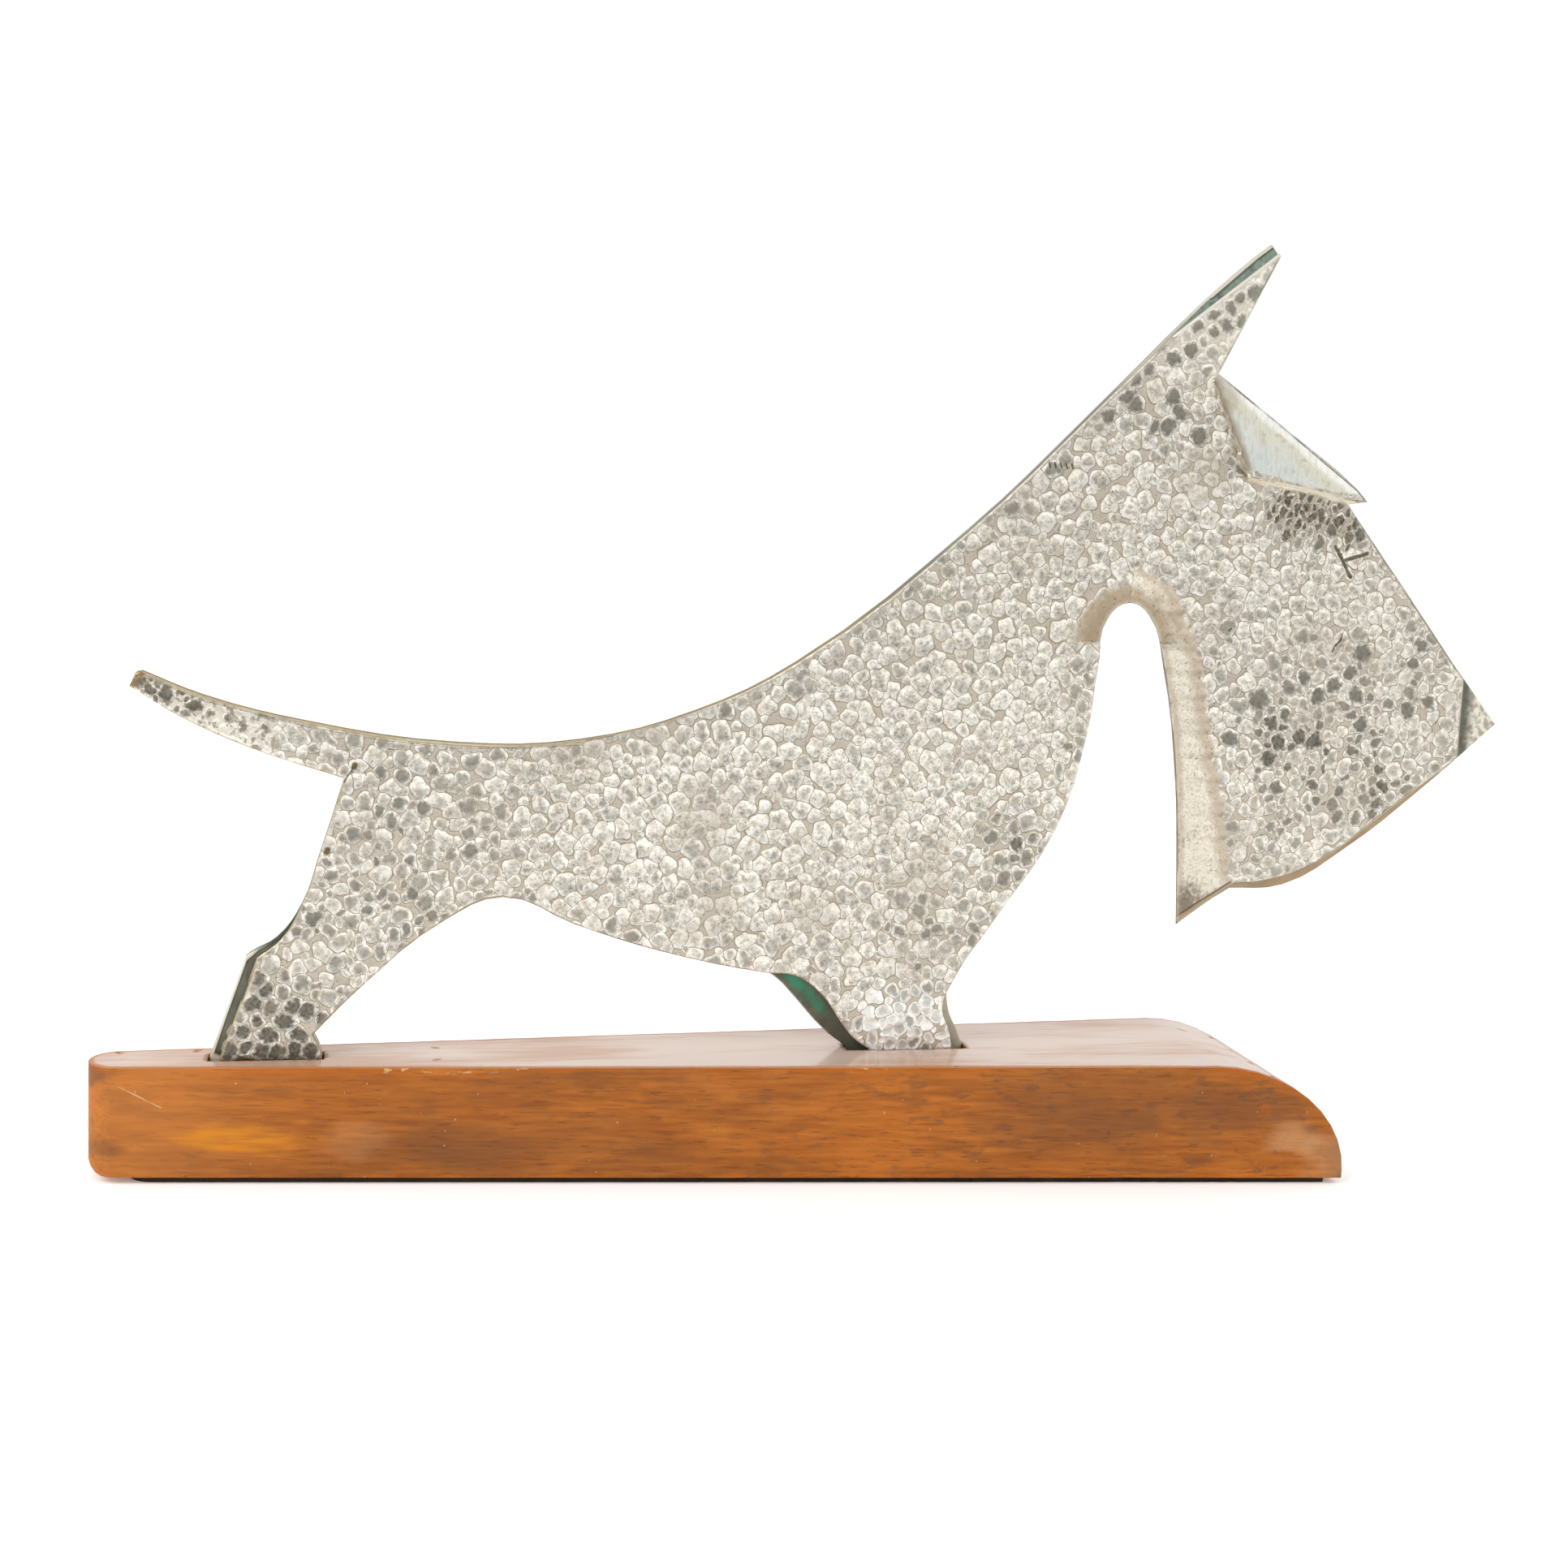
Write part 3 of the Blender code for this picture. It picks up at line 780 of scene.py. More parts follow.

# %% [markdown]
# ## Silvered metal
# The plating is pale on the walls of each mark, partly where hands rub it and partly as a
# painted reflection of the bright tent, and darkest in the pit, where tarnish stays. A thin
# grey line runs along each ridge, and warm grey metal is left between the marks. The stored
# values say where in its mark each triangle lies, so the lines are crisp at any distance.

# %% Colour of the hammer marks
def hammered_colour(place):
    """Colour of the beaten metal, and how dark and how deep it is in the marks."""
    mark_u, mark_v, tarnish = stored(place, "mark")
    gap, depth, chance = stored(place, "ridge")
    square = mark_u * mark_u + mark_v * mark_v
    bowl = depth * (1 - square)
    border = (bowl + 0.10).least(gap.size() * 0.8)
    within = step(border, 0.02, 0.14)
    wear = step(noise(place, 55, 4, shift=(8, 8, 8)), 0.50, 0.72)
    speck = noise(place, 1300, 4)
    grain = noise(place, 700, 5, shift=(3, 1, 2))
    land = mix(noise(place, 26, 4), (176, 166, 150), (208, 198, 183))
    # Pale walls: rubbed plating, and a painted reflection of the bright tent
    wall = mix(step(grain, 0.34, 0.62), (210, 203, 188), (244, 240, 230))
    line = step(border.size(), 0.15, 0.04)

    ragged = square ** 0.5 + (grain - 0.5) * 0.6 + (speck - 0.5) * 0.8
    ringed = step(gap.size() * 0.8, 0.03, 0.32)
    pit = step(ragged - tarnish * 0.26, 0.76, 0.26) * ringed
    pit_colour = mix(step(speck, 0.36, 0.66), (68, 66, 58), (136, 128, 113))
    pit_colour = mix(step(chance, 0.78, 0.9) * 0.4, pit_colour, (92, 102, 102))
    faint = step(speck, 0.60, 0.40) * (0.26 + 0.34 * chance)
    haze = step(ragged, 1.1, 0.4) * tarnish * (0.20 + 0.40 * step(speck, 0.38, 0.60))
    grit = step(noise(place, 2900, 4, shift=(2, 9, 4)), 0.47, 0.68)
    metal = paint(
        land,
        (within * (1 - wear * 0.6), wall),
        (line * (0.75 - wear * 0.3), (134, 122, 104)),
        (pit * faint.most(tarnish), pit_colour),
        (haze, (138, 130, 115)),
        (grit * 0.34, (146, 136, 118)),
    )
    return metal, pit * tarnish, within, grain, speck


print("marks are coloured by", hammered_colour.__name__)

# %% [markdown]
# The filed places have colours of their own. The brow is pale blue with a white gleam at
# its upper edge and a little yellow beside it. The beard's facet is cream, with a paler band
# of painted highlight, brown near the arch and dark in its lowest corner.

# %% Colour of the filed places
def brow_colour(place, across, up):
    """Pale blue and cream, a painted white gleam at the upper edge, and painted shadow along the rear edge.
    """
    soft = noise(place, 240, 4)
    blue = mix(noise(place, 110, 5), (188, 198, 196), (232, 230, 218))
    yellow = step(noise(place, 500, 4, shift=(2, 2, 2)), 0.54, 0.68)
    from_edge = away(across, up, (0.7490, 0.5015), (0.8740, 0.4160))
    from_corner = away(across, up, (0.7480, 0.4990), (0.7560, 0.4860))
    to_rear = away(across, up, *BROW_REAR_EDGE)
    brushed = step(noise(place, 1500, 3, stretch=(1, 1, 0.25)), 0.46, 0.68) * 0.30
    return paint(
        mix(yellow, (216, 214, 198), (196, 188, 156)),
        (step(from_edge + (soft - 0.5) * 6, 2.2, 7.5), blue),
        (step(from_edge + (soft - 0.5) * 2, 2.4, 0.9), (244, 243, 236)),
        (brushed, (170, 166, 150)),
        (step(from_corner + (soft - 0.5) * 4, 5.5, 1.5) * 0.7, (182, 174, 156)),
        # Painted shadow along the rear edge, where the hammered metal starts
        (step(to_rear + (soft - 0.5) * 3, 2.4, 0.4) * 0.75, (146, 136, 116)),
    )


def facet_colour(place, across, up):
    """Cream with a painted highlight band, brown round the arch, dark in the lowest corner, brassy border.
    """
    behind, arch, from_rim = stored(place, "facet")
    soft = noise(place, 240, 4)
    # band is a painted highlight down the middle of the facet
    band = step(behind + (soft - 0.5) * 4, 1.6, 4.6) * step(from_rim + (soft - 0.5) * 3, 0.7, 2.4)
    grain = step(noise(place, 1500, 4, shift=(1, 7, 2)), 0.44, 0.64) * 0.45
    corner = away(across, up, (0.7500, 0.1000), (0.7560, 0.1140))
    low = step(corner + (noise(place, 900, 5) - 0.5) * 12, 7.5, 0.5)
    brown = step(arch + (noise(place, 420, 5) - 0.5) * 7, 6.8, 0.6)
    brassy = step(behind.size() + (soft - 0.5) * 3, 0.8, 0.2) * step(noise(place, 130, 3), 0.55, 0.65)
    under = away(across, up, *FACET_FOOT)
    pits = step(noise(place, 620, 3, shift=(6, 1, 3)), 0.64, 0.70)
    return paint(
        mix(band, (194, 181, 162), (226, 218, 202)),
        (grain, (182, 168, 146)),
        (low * 0.85, (108, 97, 78)),
        (brown * 0.8, (158, 140, 114)),
        (brassy * 0.7, (216, 180, 104)),
        (step(under, 1.15, 0.95), (152, 130, 102)),
        (step((under - 1.1).size(), 0.30, 0.12) * 0.9, (90, 74, 54)),
        (pits * 0.6, (128, 116, 98)),
    )


print("filed places are coloured by", brow_colour.__name__, "and", facet_colour.__name__)

# %% [markdown]
# Over the marks lie dust, a painted highlight along the rim, the pale wear of the ear and the
# tail, painted shade under the brow and painted shade at the feet, where they meet the board.
# Then come thin lines: the outline, which is painted shade on the edge, the borders of the
# brow, with painted shade on its rear step, the brassy seam along the back and the sawn end
# of the tail.

# %% Wear and lines of the hammered face
GOLD = [((0.7745, 0.4285), (0.7880, 0.4272)), ((0.8930, 0.3765), (0.9105, 0.3485))]
BACK_SEAM = chain(
    (0.0080, 0.2630), (0.047, 0.248), (0.115, 0.2322), (0.160, 0.2250),
    (0.215, 0.2202), (0.255, 0.2210), (0.300, 0.2245),
)
TAIL_END = [((0.0005, 0.2530), (0.0075, 0.2626))]
UNDER_SHADE = ((0.8020, 0.4130), (0.8620, 0.3990))


def drawn_strokes(across, up, strokes, half_width):
    """1 on the strokes and 0 away from them."""
    drawn = None
    for start, end in strokes:
        line = step(stroke(across, up, spot(*start), spot(*end)), half_width * 1.3, half_width * 0.6)
        drawn = line if drawn is None else drawn.most(line)
    return drawn


def wear_coats(place, across, up, pit, grain):
    """Dust, rubbed places, a painted highlight along the rim and painted shade under the brow and at the
    feet, from the first coat to the last.
    """
    smooth, glint, brow = stored(place, "zones")
    along, height = shares(across, up)
    dust = step(noise(place, 1500, 5), 0.59, 0.69) * (0.55 - brow * 0.45)
    tail = step(along + (grain - 0.5) * 0.03, 0.115, 0.075) * step(height, 0.15, 0.18)
    ear = step(height + (grain - 0.5) * 0.03, 0.47, 0.54)
    under_brow = step(away(across, up, *UNDER_SHADE) + (grain - 0.5) * 5, 4.4, 1.6)
    under_brow = under_brow * step(noise(place, 900, 5), 0.50, 0.60)
    # Painted shade: the metal darkens within a millimetre or two of the foot line
    foot = step(height / MM * DOG_LENGTH + (grain - 0.5) * 4, 1.8, 0.5)
    return [
        (dust, mix(grain, (92, 80, 62), (140, 130, 112))),
        # Painted highlight: a pale band along the rim of the sheet
        (glint * (0.5 - brow * 0.5), (230, 224, 208)),
        (tail.most(ear * 0.8) * (1 - pit) * 0.55, (240, 234, 220)),
        (tail * step(noise(place, 760, 6), 0.52, 0.61) * 0.70, (116, 106, 90)),
        (under_brow * (1 - smooth) * 0.42, (88, 72, 54)),
        (foot * 0.6, (84, 82, 70)),
    ]


def line_coats(place, across, up, grain, speck):
    """The painted shade of the outline, the brow's borders, the back's seam and the sawn tail end."""
    brow = stored(place, "zones")[2]
    from_rim = stored(place, "facet")[2]
    along = shares(across, up)[0]
    rim_colour = mix(step(along, 0.30, 0.16), (122, 112, 94), (172, 154, 114))
    # Painted shade: a thin dark line along the sheet's edge, tan on the tail
    outline_shade = step(from_rim, 0.42, 0.14) * step(noise(place, 70, 4), 0.36, 0.54)
    outline_shade = outline_shade * step((along - 0.53).size(), 0.12, 0.20).most(brow)
    lip = drawn_strokes(across, up + (grain - 0.5) * 1.6 * MM, BROW_LIP, 0.55 * MM) * (1 - brow)
    # Painted shade on the step wall at the brow's rear edge
    rear_wall_shade = drawn_strokes(across, up, [BROW_REAR_EDGE], 0.6 * MM)
    seam = drawn_strokes(across, up, BACK_SEAM, 0.75 * MM)
    under_seam = drawn_strokes(across, up + 1.05 * MM, BACK_SEAM, 0.13 * MM)
    sawn = drawn_strokes(across, up, TAIL_END, 1.0 * MM)
    gold = drawn_strokes(across, up, GOLD, 0.24 * MM) * step(speck, 0.38, 0.55)
    return [
        (outline_shade * 0.85, rim_colour),
        (lip * 0.8, mix(grain, (196, 186, 164), (244, 238, 222))),
        (rear_wall_shade * 0.8, mix(grain, (128, 116, 96), (176, 166, 146))),
        (seam * 0.75, mix(grain, (160, 142, 108), (222, 210, 180))),
        (under_seam * step(speck, 0.3, 0.6) * 0.7, (120, 104, 78)),
        (sawn * step(speck, 0.3, 0.6), (146, 120, 88)),
        (gold * 0.6, (196, 164, 100)),
    ]


print("strokes along the back:", len(BACK_SEAM))

# %% [markdown]
# The eye is two engraved strokes. A small crack lies below it, a row of nicks on the neck
# and two brown spots near the rump. These last ones were only seen on the right sheet, and
# so was the brighter polish of the fore foot, whose near-white mark walls are a painted
# highlight. A pale line along the near ear's top edge is a painted highlight too.

# %% Finish of the hammered face
NICK_STROKES = [((0.6250 + 0.0042 * turn, 0.4318), (0.6262 + 0.0042 * turn, 0.4286)) for turn in range(5)]
BROWN_SPOTS = [((0.1289, 0.1441), (0.1294, 0.1455)), ((0.1458, 0.2026), (0.1463, 0.2040))]
NOTCH_STROKES = chain((0.1395, 0.1920), (0.1412, 0.1955), (0.1452, 0.2018))
NEAR_EAR_GLINT = [((0.7120, 0.5265), (0.7855, 0.5878))]
LEFT_POLISH = 0.3


def hammered_finish(name, found_on_right):
    material, shader, place = new_finish(name)
    across, _, up = split(place)
    smooth, _, brow = stored(place, "zones")
    metal, pit, within, grain, speck = hammered_colour(place)
    filed = mix(brow, facet_colour(place, across, up), brow_colour(place, across, up))
    polished = step(away(across, up, *POLISHED), 15, 5) * (1 if found_on_right else LEFT_POLISH)
    cut = drawn_strokes(across + (grain - 0.5) * 0.8 * MM, up, EYE_STROKES, 0.42 * MM)
    spots = []
    if found_on_right:
        spots = [(drawn_strokes(across, up, BROWN_SPOTS, 0.7 * MM) * 0.9, (98, 84, 44))]
        jagged = across + (speck - 0.5) * 1.2 * MM
        cut = cut.most(drawn_strokes(jagged, up, CRACK_STROKES, 0.20 * MM))
        cut = cut.most(drawn_strokes(across, up, NICK_STROKES, 0.20 * MM))
        cut = cut.most(drawn_strokes(across, up, NOTCH_STROKES, 0.16 * MM))
    metal = paint(
        metal,
        (smooth, filed),
        *wear_coats(place, across, up, pit, grain),
        *line_coats(place, across, up, grain, speck),
        # Painted highlight: near-white mark walls on the polished fore foot
        (polished * within * (1 - pit) * 0.8, (252, 252, 248)),
        (polished * pit * 0.6, (78, 82, 82)),
        # Painted highlight: a pale line along the near ear's top edge
        (drawn_strokes(across, up, NEAR_EAR_GLINT, 0.6 * MM) * 0.85, (240, 235, 222)),
        *spots,
        (cut * 0.9, mix(grain, (66, 62, 40), (104, 98, 72))),
    )
    rough = 0.34 + pit * 0.20 + (1 - within) * 0.08 - brow * 0.12 - polished * 0.12
    texture = grain * 0.5 + speck * 0.25 - cut * 2.0
    connect(shader, Base_Color=metal, Metallic=1 - polished * 0.5, Roughness=rough)
    connect(shader, Normal=bump(texture, 0.09 * MM))
    return material


right_silver = hammered_finish("hammered_silver_right", True)
left_silver = hammered_finish("hammered_silver_left", False)
print("made", right_silver.name, "and", left_silver.name)

# %% [markdown]
# ## Sawn edges and the inner faces
# The sawn edges are dull, with a painted highlight on their bevels and upper edges, and brass
# shows along the back, where the plating wore off.
# The inner faces, seen where the sheets part, were never polished. Damp has left
# verdigris there, green in the middle and almost black near the feet. The bare corner of
# the nose is clean, with a painted shadow beside the step. A pale painted highlight runs
# along the rim of the ear and the hind leg. A bead of solder shows at the hind foot.

# %% Finishes of the edges and the inner faces
SOLDER = chain(
    (0.0677, 0.0213), (0.0651, 0.0166), (0.0661, 0.0128), (0.0629, 0.0090), (0.0617, 0.0043),
)
NOSE_STEP = ((0.9655, 0.2875), (0.9665, 0.2280))
EAR_RIM = chain((0.7430, 0.5570), (0.7765, 0.5870), (0.7885, 0.5965))


def edge_finish():
    material, shader, place = new_finish("sawn_edge")
    across, _, up = split(place)
    along, height = shares(across, up)
    facing = split(place.node("ShaderNodeNewGeometry", {}, {}, out=3))[1]
    soft = noise(place, 90, 4)
    back = step(along, 0.56, 0.46) * step(height, 0.15, 0.19)
    high = step(height, 0.33, 0.39) * (0.35 + 0.50 * step(along, 0.70, 0.74))
    hind = step(along, 0.25, 0.18) * step(height, 0.20, 0.16)
    # Painted highlight: pale on the bevels, by the way they face, and on the upper edges
    lit_edge_highlight = (step(facing.size(), 0.35, 0.6) * 0.6).most(high)
    metal = paint(
        mix(soft, (98, 90, 78), (146, 136, 118)),
        (back.most(step(soft, 0.60, 0.68) * 0.7), mix(soft, (150, 134, 104), (206, 178, 120))),
        (step(noise(place, 800, 3), 0.58, 0.70) * 0.7, (84, 76, 62)),
        (lit_edge_highlight * (1 - hind * 0.9), (222, 216, 200)),
        (hind * 0.8, mix(soft, (78, 82, 66), (120, 120, 98))),
    )
    scratches = noise(place, 1600, 3, stretch=(1, 0.2, 1))
    connect(shader, Base_Color=metal, Metallic=1.0, Roughness=0.42, Normal=bump(scratches, 0.05 * MM))
    return material


def inner_finish():
    material, shader, place = new_finish("verdigris")
    across, _, up = split(place)
    along, height = shares(across, up)
    from_rim = stored(place, "facet")[2]
    streak = noise(place, 380, 4, stretch=(0.5, 1, 0.5))
    green = mix(noise(place, 500, 6, shift=(5, 2, 1)), (70, 94, 82), (176, 196, 180))
    emerald = mix(streak, (20, 96, 70), (70, 160, 124))
    patch = away(across, up, (0.4560, 0.0580), (0.4810, 0.0330)) + (noise(place, 1000, 6) - 0.5) * 7
    tan = mix(streak, (140, 116, 86), (196, 172, 138))
    grey = mix(streak, (160, 152, 130), (214, 206, 186))
    nose = step(along, 0.955, 0.962)
    nose_colour = mix(step(noise(place, 700, 6), 0.36, 0.60), (186, 178, 160), (240, 235, 222))
    # Painted shadow beside the nose step
    shadow = step(away(across, up, *NOSE_STEP) + (streak - 0.5) * 2, 5.6, 2.2)
    fore = step(along, 0.555, 0.565) * step(along, 0.70, 0.66) * step(height, 0.20, 0.16)
    hind = step(along, 0.30, 0.20)
    shank = hind * step(height, 0.080, 0.070)
    dark_rim = (step(from_rim, 0.9, 0.6) * hind).most(drawn_strokes(across, up, EAR_RIM, 1.0 * MM))
    # Painted highlight on the far sheet's lit rim at the ear and the hind leg
    pale_rim_highlight = (step(from_rim, 0.60, 0.30) * shank).most(drawn_strokes(across, up, EAR_RIM, 0.45 * MM))
    solder = drawn_strokes(across, up, SOLDER, 0.30 * MM)
    metal = paint(
        mix(streak, (62, 63, 52), (124, 124, 106)),
        (step(height, 0.47, 0.53) * step(streak, 0.36, 0.56), green),
        (step(patch, 2.2, 0.6) * step(streak, 0.30, 0.56) * 0.9, emerald),
        (step(along, 0.70, 0.74) * step(height, 0.30, 0.27), tan),
        (nose, mix(shadow * 0.9, nose_colour, (92, 94, 80))),
        (fore, grey),
        (dark_rim * 0.75, (48, 46, 38)),
        (pale_rim_highlight, (214, 208, 190)),
        (solder * 0.8, (196, 190, 168)),
    )
    crust = noise(place, 1100, 4) + solder
    connect(shader, Base_Color=metal, Metallic=0.35 + nose * 0.6, Roughness=0.6)
    connect(shader, Normal=bump(crust, 0.12 * MM))
    return material


sawn_edge = edge_finish()
verdigris = inner_finish()
HAMMERED, EDGE, INNER = 0, 1, 2


def dress_sheet(piece, side, outer_faces, silver):
    """Give each triangle its finish: hammered outside, plain inside, sawn at the edge."""
    for material in (silver, sawn_edge, verdigris):
        piece.data.materials.append(material)
    facing = read_normals(piece.data)[:, 1] * side
    slots = np.where(outer_faces, HAMMERED, np.where(facing < -OUTER_LEAN, INNER, EDGE)).astype(np.int32)
    piece.data.polygons.foreach_set("material_index", slots)
    only(piece)
    bpy.ops.object.shade_smooth_by_angle(angle=math.radians(38))
    print(piece.name, "finishes:", np.bincount(slots).tolist())


dress_sheet(right_sheet, RIGHT, right_outer, right_silver)
dress_sheet(left_sheet, LEFT, left_outer, left_silver)

# %% [markdown]
# ## The wooden base
# The board is varnished hardwood with softened edges. The solid has its true taper,
# rolled head end and foot slots. The copy gets finer triangles, and then shallow dents
# are pressed into it. Its points also store how far they are from an edge, and whether
# they face up, for the finish.

# %% Wear the board
BOARD_EDGE = 1.7 * MM
DENT_DEPTH = 0.10 * MM
CREASE = math.radians(18)
SLOT_REACH = 5 * MM


def crease_places(mesh):
    """The points that lie on an edge of the board, where its faces turn."""
    shape = bmesh.new()
    shape.from_mesh(mesh)
    sharp = [edge for edge in shape.edges if edge.calc_face_angle(0) > CREASE]
    places = sorted({tuple(vertex.co) for edge in sharp for vertex in edge.verts})
    shape.free()
    return [place for place in places if abs(place[1]) > SLOT_REACH or place[0] < dog_low.x]


def wear_board():
    board = copy_solid("wooden_base", "varnished_board")
    halve_edges(board, BOARD_EDGE)
    mesh = board.data
    points = read_points(mesh)
    normals = np.zeros(len(points) * 3)
    mesh.vertices.foreach_get("normal", normals)
    normals = normals.reshape(-1, 3)
    from_crease = distances(points, crease_places(mesh))
    dents = np.array([turbulence.noise(Vector(point) / (14 * MM)) for point in points])
    points -= normals * (DENT_DEPTH * np.abs(dents))[:, None]
    mesh.vertices.foreach_set("co", points.ravel())
    store(mesh, "wear", "POINT", np.column_stack([from_crease / MM, normals[:, 2], normals[:, 1]]))
    mesh.update()
    only(board)
    bpy.ops.object.shade_smooth_by_angle(angle=math.radians(50))
    return board


board = wear_board()
print("board height:", round(board.dimensions.z, 4))

# %% [markdown]
# ## Varnished wood
# The grain runs along the board: long streaks, fine pores and darker figure. The
# varnish is glossy, so the wood has a clear coat, and the top shines pale at this low
# angle: its pale colour is a painted reflection of the bright tent. The tail end is painted
# lighter, a painted highlight. It is rubbed through to a yellow patch near the tail,
# scratched beside it, worn in two places along the upper edge, and dark with handling at
# both ends. Places on the side are metres from the board's tail end and up from its underside.

# %% Wood, smudges and worn stretches
board_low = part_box("wooden_base")[0]
DARK_SMUDGES = [
    ((0.082, 0.0070), 0.022, 0.006, 0.40), ((0.270, 0.0165), 0.026, 0.008, 0.45),
    ((0.001, 0.0240), 0.007, 0.004, 0.60), ((0.004, 0.0070), 0.006, 0.003, 0.45),
    ((0.225, 0.0140), 0.030, 0.010, 0.30), ((0.300, 0.0050), 0.006, 0.006, 0.50),
]
PALE_SMUDGES = [
    ((0.2865, 0.0110), 0.010, 0.005, 0.42), ((0.0600, 0.0100), 0.010, 0.005, 0.14),
    ((0.2960, 0.0060), 0.010, 0.008, 0.28),
]
YELLOW_SMUDGE = ((0.0340, 0.0090), 0.015, 0.0040)
CHIPPED = [(0.055, 0.105), (0.174, 0.186)]


def side_spot(along, up):
    """Place on the board's side: metres from its tail end, and up from its underside."""
    return np.array([board_low.x + along, board_low.z + up])


SCRATCH = (side_spot(0.0073, 0.0214), side_spot(0.0165, 0.0166))


def smudge(across, up, middle, reach_x, reach_z, cloud):
    """1 within an oval with ragged borders, and 0 outside it."""
    centre = side_spot(*middle)
    x = (across - centre[0]) / reach_x
    z = (up - centre[1]) / reach_z
    return step((x * x + z * z) ** 0.5 + (cloud - 0.5) * 2.2, 1.1, 0.35)


def bare_wood(place, across, streaks, figure, pores, blotch):
    """Colour of the board: grain, darker figure, patches, pores, scuffs and a painted highlight at the tail
    end.
    """
    patches = noise(place, 36, 5, stretch=(0.5, 1, 1), shift=(9, 3, 0))
    scuffs = noise(place, 460, 9, stretch=(0.4, 1, 1), shift=(6, 2, 8)) + (pores - 0.5) * 0.14
    to_head = step(across, board_low.x + 0.10, board_low.x + 0.20)
    tail_end_highlight = step(across, board_low.x + 0.050, board_low.x + 0.010)
    return paint(
        mix(step(streaks, 0.25, 0.75), (148, 80, 16), (182, 106, 32)),
        (step(figure, 0.40, 0.70) * 0.40, (132, 70, 16)),
        (step(patches, 0.48, 0.66) * 0.40, (122, 74, 34)),
        (step(patches, 0.47, 0.33) * 0.35, (190, 108, 28)),
        (step(blotch, 0.54, 0.70) * 0.45, (112, 66, 26)),
        (step(blotch, 0.45, 0.32) * 0.25, (192, 114, 40)),
        (step(pores, 0.58, 0.68) * 0.45, (98, 52, 12)),
        (step(scuffs, 0.55, 0.68) * (0.16 + 0.30 * to_head), (100, 68, 44)),
        # Painted highlight: lighter wood at the tail end
        (tail_end_highlight * 0.26, (206, 134, 70)),
    )


def smudge_coats(across, up, near_side, streaks, blotch):
    """The dark, the pale and the yellow smudges, as coats."""
    coats = []
    for colour, smudges in (((94, 62, 38), DARK_SMUDGES), ((206, 160, 112), PALE_SMUDGES)):
        for middle, reach_x, reach_z, amount in smudges:
            coats.append((smudge(across, up, middle, reach_x, reach_z, blotch) * amount, colour))
    yellow = smudge(across, up, *YELLOW_SMUDGE, blotch) * near_side
    coats.append((yellow * (0.35 + 0.5 * step(streaks, 0.35, 0.65)), (206, 128, 16)))
    return coats


def worn_stretches(across):
    """1 along the stretches of the upper edge that are worn through."""
    worn = None
    for first, last in CHIPPED:
        from_middle = (across - (first + last) / 2 - board_low.x).size()
        here = step(from_middle, (last - first) / 2, (last - first) / 3)
        worn = here if worn is None else worn.most(here)
    return worn


print("smudges on the side:", len(DARK_SMUDGES) + len(PALE_SMUDGES) + 1)

# %% Varnish over the wood
def wood_finish():
    material, shader, place = new_finish("varnished_hardwood")
    across, _, up = split(place)
    crease, upness, facing = stored(place, "wear")
    near_side = step(facing, 0.2, -0.4)
    streaks = noise(place, 900, 6, stretch=(0.05, 1, 1))
    figure = noise(place, 130, 6, stretch=(0.22, 1, 1), shift=(2, 0, 5))
    pores = noise(place, 1900, 3, stretch=(0.07, 1, 1))
    blotch = noise(place, 170, 9, stretch=(0.35, 1, 1), shift=(1, 5, 2))

    side = step(upness, 0.5, 0.2)
    high = side * step(up, board_low.z + 0.015, board_low.z + 0.019)
    band = step(crease + (blotch - 0.5) * 2, 1.6, 0.5) * high * step(figure, 0.38, 0.60)
    marbled = noise(place, 90, 10, stretch=(0.20, 0.6, 1), shift=(3, 3, 3)) + (streaks - 0.5) * 0.4
    marbled = step(marbled, 0.42, 0.64)
    rolled = step(upness, 0.985, 0.90)
    arris = (1 - side) * step(crease + (blotch - 0.5) * 1.2, 1.2, 0.5)
    scratch = stroke(across, up, *SCRATCH)
    scratch = step(scratch + (streaks - 0.5) * 0.5 * MM, 0.22 * MM, 0.06 * MM) * near_side
    flecks = step(noise(place, 620, 3, shift=(4, 4, 4)), 0.735, 0.76)
    chips = step(noise(place, 700, 5, stretch=(0.45, 1, 1), shift=(7, 7, 7)), 0.54, 0.62) * high
    chips = chips * step(crease + (blotch - 0.5) * 2, 1.4, 0.6)
    worn = worn_stretches(across)
    wood = paint(
        bare_wood(place, across, streaks, figure, pores, blotch),
        *smudge_coats(across, up, near_side, streaks, blotch),
        (band * 0.45, (186, 96, 6)),
        # Painted reflection: the top's pale colour, less on the rolled head end
        ((1 - side) * (0.92 - rolled * 0.35), mix(marbled, (206, 186, 172), (190, 157, 134))),
        (arris * 0.7, (176, 104, 48)),
        ((scratch * 0.7).most(flecks * 0.6).most(chips * worn * 0.75), (214, 172, 124)),
    )

    rough = 0.40 + (streaks - 0.5) * 0.2
    height = pores * 0.5 + streaks * 0.5 - scratch * 2 - chips * worn * 2
    gloss = 0.22 + (1 - side) * (0.58 - marbled * 0.18) * (1 - rolled * 0.75) * (1 - arris * 0.7)
    connect(shader, Base_Color=wood, Roughness=rough, Normal=bump(height, 0.05 * MM))
    connect(shader, Specular_IOR_Level=0.0, Coat_Weight=gloss, Coat_Roughness=0.16, Coat_IOR=1.8)
    return material


board.data.materials.append(wood_finish())
print("board dressed")

# %% [markdown]
# ## The felt pad
# A thin pad of dark felt keeps the board off the shelf, and only its edge shows. The
# copy is cut into short stretches and its edge is pushed in and out a little, because
# felt is cut with scissors.

# %% Felt with an uneven edge
FELT_EDGE = 2.5 * MM
FELT_UNEVEN = 0.012


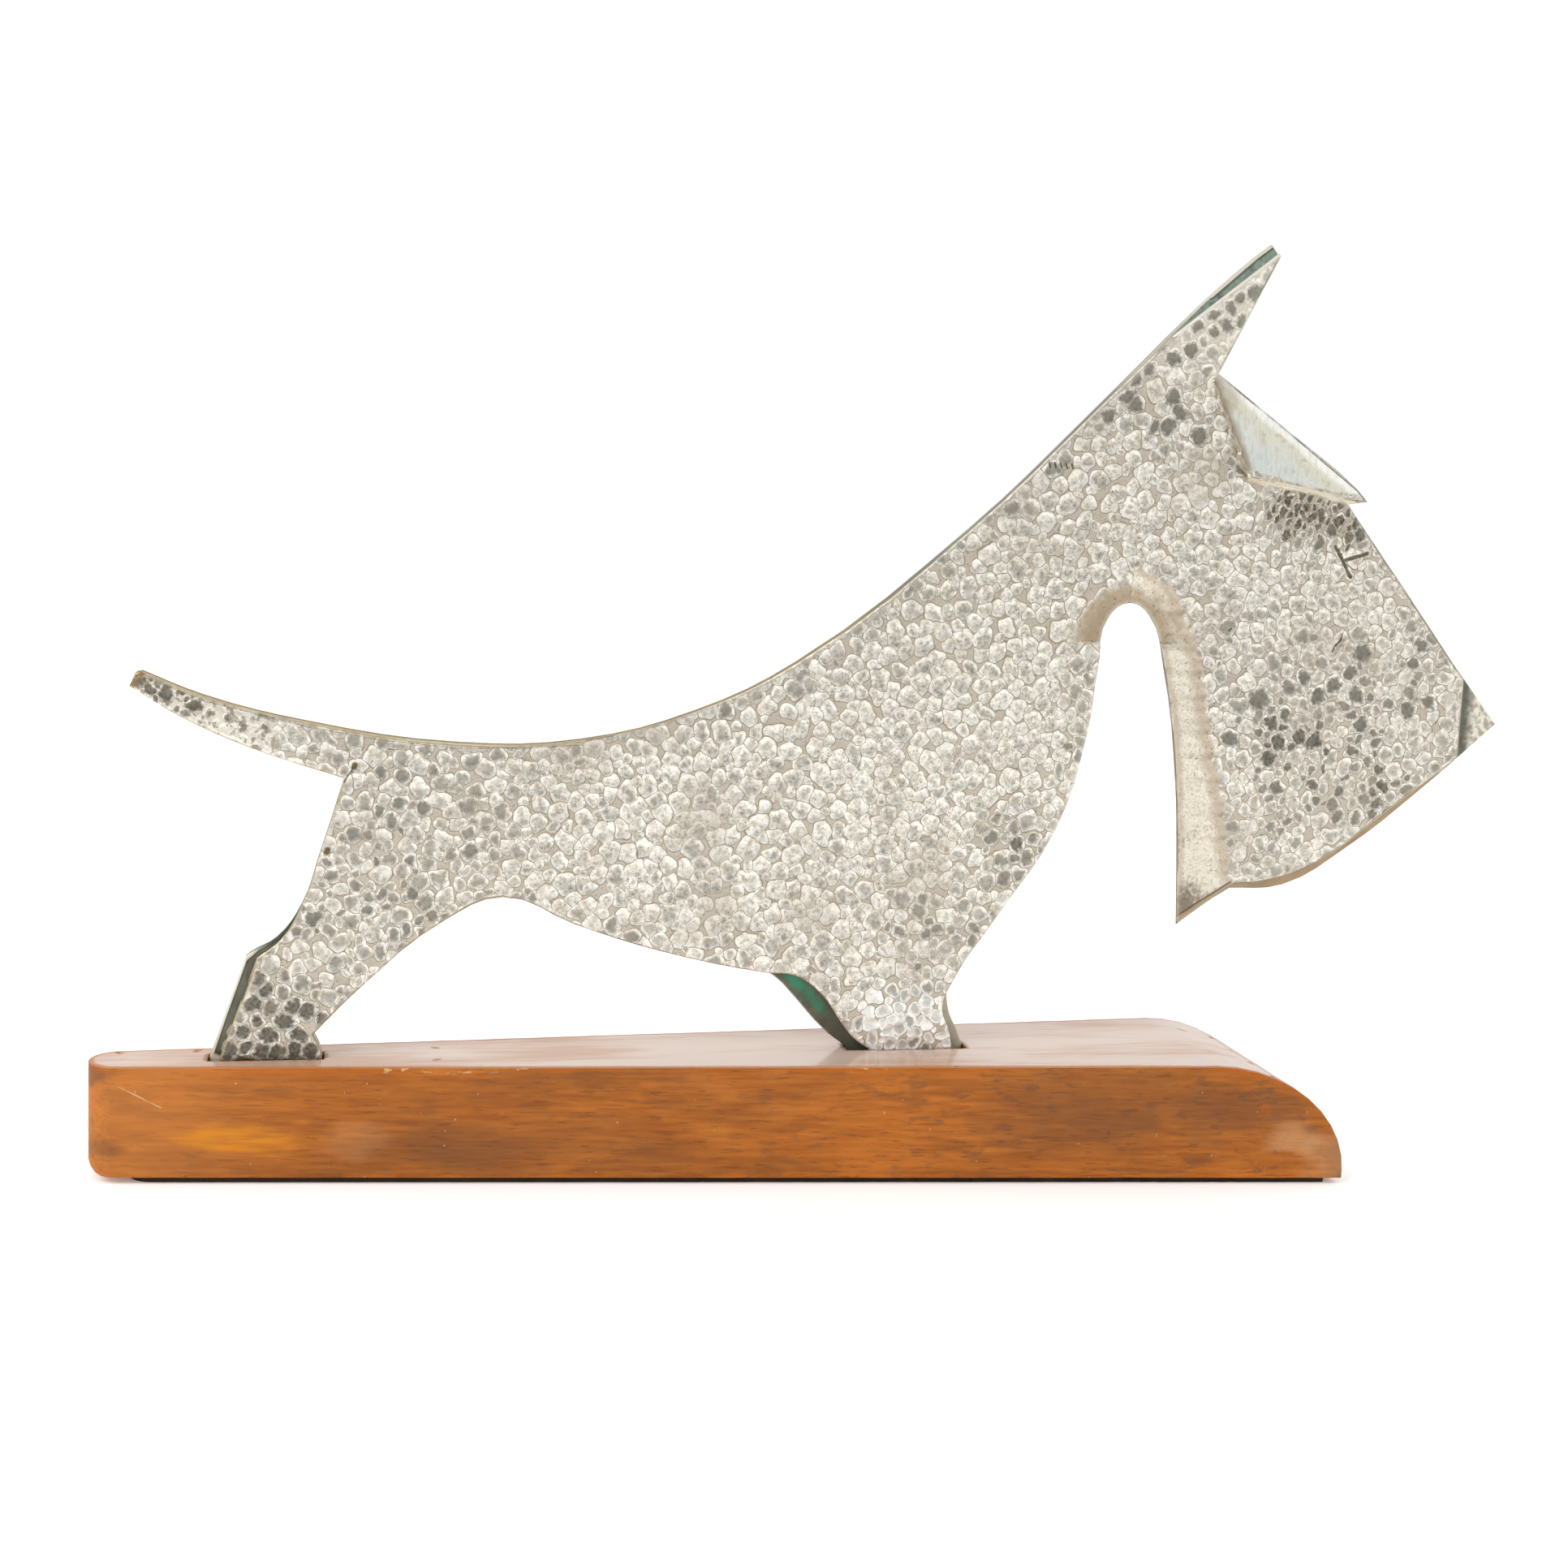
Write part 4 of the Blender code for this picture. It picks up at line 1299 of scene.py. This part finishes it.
def felt_pad():
    pad = copy_solid("felt_pad", "felt_pad_cloth")
    halve_edges(pad, FELT_EDGE)
    random = np.random.default_rng(5)
    for vertex in pad.data.vertices:
        vertex.co.y *= 1 - FELT_UNEVEN * random.random()
    return pad


def felt_finish():
    material, shader, place = new_finish("dark_felt_cloth")
    fibres = noise(place, 2200, 4)
    colour = mix(fibres, (18, 14, 11), (64, 48, 36))
    connect(shader, Base_Color=colour, Roughness=0.95, Normal=bump(fibres, 0.2 * MM))
    return material


pad = felt_pad()
pad.data.materials.append(felt_finish())
print("felt dressed")

# %% [markdown]
# ## Floor and light
# The photograph was taken in a white tent: white floor, white ground and light from all
# round, except for the gap where the camera looks in. That gap matters, because metal
# shows what it reflects. The flat parts and the bottoms of the marks reflect the dim
# gap, and their walls reflect the bright tent, which draws every mark as a pale ring.
# The gap only dims reflections, so the backdrop itself stays white from every side.

# %% White floor, tent and lamps
FLOOR_SIZE = 9.0
FLOOR_GLOW = 0.16
TENT = 1.06
GAP_DIM = 0.50


def add_floor():
    material, shader, _ = new_finish("white_paper")
    connect(shader, Base_Color=shade(250, 250, 250), Roughness=0.9)
    connect(shader, Emission_Color=(1, 1, 1, 1), Emission_Strength=FLOOR_GLOW)
    bpy.ops.mesh.primitive_plane_add(size=FLOOR_SIZE, location=(0, 0, cad_low.z))
    floor = bpy.context.active_object
    floor.name = "white_floor"
    floor.data.materials.append(material)


def add_lamp(name, spot_at, aim, size, power):
    lamp_data = bpy.data.lights.new(name, "AREA")
    lamp_data.size = size
    lamp_data.energy = power
    lamp = bpy.data.objects.new(name, lamp_data)
    bpy.context.scene.collection.objects.link(lamp)
    lamp.location = spot_at
    lamp.rotation_euler = (Vector(aim) - Vector(spot_at)).to_track_quat("-Z", "Y").to_euler()


def add_tent():
    world = bpy.data.worlds.new("white_tent")
    bpy.context.scene.world = world
    world.use_nodes = True
    direction = Wire(world.node_tree).node("ShaderNodeTexCoord", {}, {}, out=0)
    across, depth, up = split(direction)
    toward_camera = 0 - (depth * 0.965 + across * 0.21) + up * 0.13
    seen_directly = direction.node("ShaderNodeLightPath")
    light = TENT - step(toward_camera, 0.74, 0.985) * GAP_DIM * (1 - seen_directly)
    background = world.node_tree.nodes["Background"]
    world.node_tree.links.new(light.output, background.inputs["Strength"])
    background.inputs["Color"].default_value = (1, 1, 1, 1)


add_floor()
add_tent()
add_lamp("left_lamp", (-0.9, -0.5, 0.9), (0, 0, 0.1), 0.6, 6)
print("floor, tent and lamp ready")
